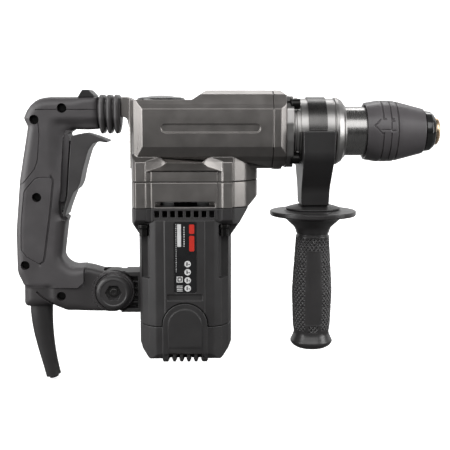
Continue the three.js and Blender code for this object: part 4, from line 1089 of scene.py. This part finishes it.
PIVOT_CAP = [
    (16.3, 5.2), (16.3, 15.8), (19.6, 15.8, 0.5), (21.6, 13.9, 0.8), (22, 12.4, 0.4), (21.5, 11.4, 0.4),
    (21.5, 5.2),
]
BOLT_END = [(16.5, 0), (16.5, 3.6), (19.4, 3.6, 0.6), (19.4, 1.5), (18.6, 0)]
for name, side in (("right", -1), ("left", 1)):
    cap, end = [
        lathe("y", PIVOT, [(side * out, *rest) for out, *rest in profile], segments)
        for profile, segments in ((PIVOT_CAP, 96), (BOLT_END, 32))
    ]
    cap = cut(cap, rod("y", PIVOT, 7.8, *span(side, 16.9, 30), 6))
    place(cap, f"pivot_cap_{name}_moulding", "rear_handle", "cap_plastic", [f"pivot_cap_{name}"], 0.3, 40)
    place(end, f"pivot_bolt_end_{name}", "rear_handle", "dark_steel", [], 0)


BELLOWS = (-253.7, -233.5)


def bellows():
    """Three soft folds. Between them the wall falls back to the neck of the tube."""
    section = ((18.2, 31.2, 8), (18.2, 12, 8), (9, 0.4, 6))
    rings = []
    for x in np.linspace(*BELLOWS, 120):
        near = min(abs(x - centre) for centre in (-250.2, -243.5, -236.8))
        grow = -3.0 + 5.3 * math.sqrt(max(0.0, 1 - (near / 2.7) ** 2))
        half = [(y + grow, 16 + (z - 16) * (1 + grow / 15), r) for y, z, r in section]
        rings.append([(x, y, z) for y, z in fillet(mirror(half, 0), 6)])
    return loft(rings)


folds = place(bellows(), "bellows_sleeve", None, "bellows_rubber", ["bellows"], 0, 60)
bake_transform(folds)


def cord_line(t):
    """A point on the cord's middle line, from inside the handle (0) to its cut end (1)."""
    straight = 0.22
    if t < straight:
        return (CORD_X, -148 - 20 * t / straight)
    s = (t - straight) / (1 - straight)
    corners = ((CORD_X, -168), (CORD_X, -190), (-307, -212), (-301.9, -234))
    weights = ((1 - s) ** 3, 3 * s * (1 - s) ** 2, 3 * s * s * (1 - s), s ** 3)
    return tuple(sum(w * p[i] for w, p in zip(weights, corners)) for i in (0, 1))


steps = np.linspace(0.1, 0.975, 60)
guard = sweep([cord_line(t) for t in steps], [10.6 - 3.6 * smooth(0.1, 0.98, t) for t in steps], 56)
place(guard, "cord_guard_sleeve", "rear_handle", "soft_rubber", ["cord_guard"], 0, 40)
cord = sweep([cord_line(t) for t in np.linspace(0.9, 1, 16)], [4.3] * 16, 48)
place(cord, "power_cord_jacket", "rear_handle", "soft_rubber", ["power_cord"], 0, 40)

# ---- carried-over CAD nodes ----------------------------------------------------------------

for part in frame["record"]["subparts"]:
    shown = bpy.data.objects.get(part["node"])
    if shown and shown.type == "MESH":
        darkened = part["node"] in ("pivot_bolt", "stator")
        shown.data.materials.clear()
        shown.data.materials.append(LOOK["dark_steel" if darkened else part["material_slot"]])

# ---- floor, lights and camera --------------------------------------------------------------


def stage():
    """A pale paper floor that curves up into a wall behind the tool."""
    floor, back, height, bend = -0.2365, 0.75, 1.4, 0.4
    run = [(-1.6, 0), (back - bend, 0)]
    for a in np.linspace(0, math.pi / 2, 16)[1:]:
        run.append((back - bend + bend * math.sin(a), bend - bend * math.cos(a)))
    run.append((back, height))
    vertices = [(x, y, floor + z) for y, z in run for x in (-2.2, 1.9)]
    faces = [(2 * i, 2 * i + 1, 2 * i + 3, 2 * i + 2) for i in range(len(run) - 1)]
    data = bpy.data.meshes.new("backdrop")
    data.from_pydata(vertices, [], faces)
    for polygon in data.polygons:
        polygon.use_smooth = True
    sheet = bpy.data.objects.new("backdrop", data)
    bpy.context.scene.collection.objects.link(sheet)
    n = Nodes("backdrop_paper")
    grain = n.noise(3, 3)
    seen = n.add("LightPath").outputs["Is Camera Ray"]
    wall = n.remap(n.along("Y"), 0.30, 0.55, 0.0, 0.75)
    n.shader.inputs["Emission Color"].default_value = (1, 1, 1, 1)
    n.link(n.math("MAXIMUM", n.math("MULTIPLY", seen, 0.62), wall), n.shader.inputs["Emission Strength"])
    paper = n.mix(grain, (0.84, 0.84, 0.84), (0.88, 0.88, 0.88))
    data.materials.append(n.finish(n.mix(seen, (0.09, 0.09, 0.09), paper), 0.85))


def area_light(name, place_at, aim, size, power):
    """A rectangular lamp at a place, turned towards its aim."""
    data = bpy.data.lights.new(name, "AREA")
    data.shape, data.size, data.size_y, data.energy = "RECTANGLE", size[0], size[1], power
    lamp = bpy.data.objects.new(name, data)
    lamp.location = place_at
    lamp.rotation_euler = (Vector(aim) - Vector(place_at)).to_track_quat("-Z", "Y").to_euler()
    bpy.context.scene.collection.objects.link(lamp)


def studio_world():
    """Soft surroundings: bright overhead, dim behind the camera, so that smooth surfaces show bands."""
    world = bpy.data.worlds.new("studio")
    world.use_nodes = True
    tree = world.node_tree
    direction, split, lift, ramp, shown, ray = [
        tree.nodes.new("ShaderNode" + kind)
        for kind in ("TexCoord", "SeparateXYZ", "MapRange", "ValToRGB", "Mix", "LightPath")
    ]
    stops = ((0.0, 0.01), (0.45, 0.02), (0.52, 0.10), (0.62, 0.22), (0.80, 0.26), (1.0, 0.14))
    while len(ramp.color_ramp.elements) < len(stops):
        ramp.color_ramp.elements.new(0.5)
    for element, (where, value) in zip(ramp.color_ramp.elements, stops):
        element.position, element.color = where, (value, value, value, 1)
    lift.inputs["From Min"].default_value = -1
    shown.data_type = "RGBA"
    shown.inputs[7].default_value = (0.95, 0.95, 0.95, 1)
    for out, into in (
        (direction.outputs["Generated"], split.inputs[0]),
        (split.outputs["Z"], lift.inputs["Value"]),
        (lift.outputs[0], ramp.inputs[0]),
        (ray.outputs["Is Camera Ray"], shown.inputs[0]),
        (ramp.outputs[0], shown.inputs[6]),
        (shown.outputs[2], tree.nodes["Background"].inputs[0]),
    ):
        tree.links.new(out, into)
    bpy.context.scene.world = world


stage()
studio_world()
area_light("front_soft", (-0.20, -1.25, 0.95), (-0.15, 0, -0.02), (2.4, 1.0), 17)
area_light("left_soft", (-1.20, -0.30, 0.20), (-0.2, 0, -0.05), (0.9, 0.9), 12)
area_light("right_soft", (1.0, -0.35, 0.25), (-0.05, 0, -0.05), (0.5, 0.8), 7)
area_light("back_soft", (-0.1, 0.70, 0.85), (-0.15, 0, -0.05), (1.2, 0.35), 5)
bpy.context.scene.view_settings.view_transform = "Standard"

lens = bpy.data.cameras.new("camera")
lens.lens, lens.sensor_width = 68.64, 36
camera = bpy.data.objects.new("camera", lens)
camera.location = (-0.1537, -0.800, 0.021384)
camera.rotation_euler = (math.radians(90 - 7.77), 0, math.radians(-1.12))
bpy.context.scene.collection.objects.link(camera)
bpy.context.scene.camera = camera
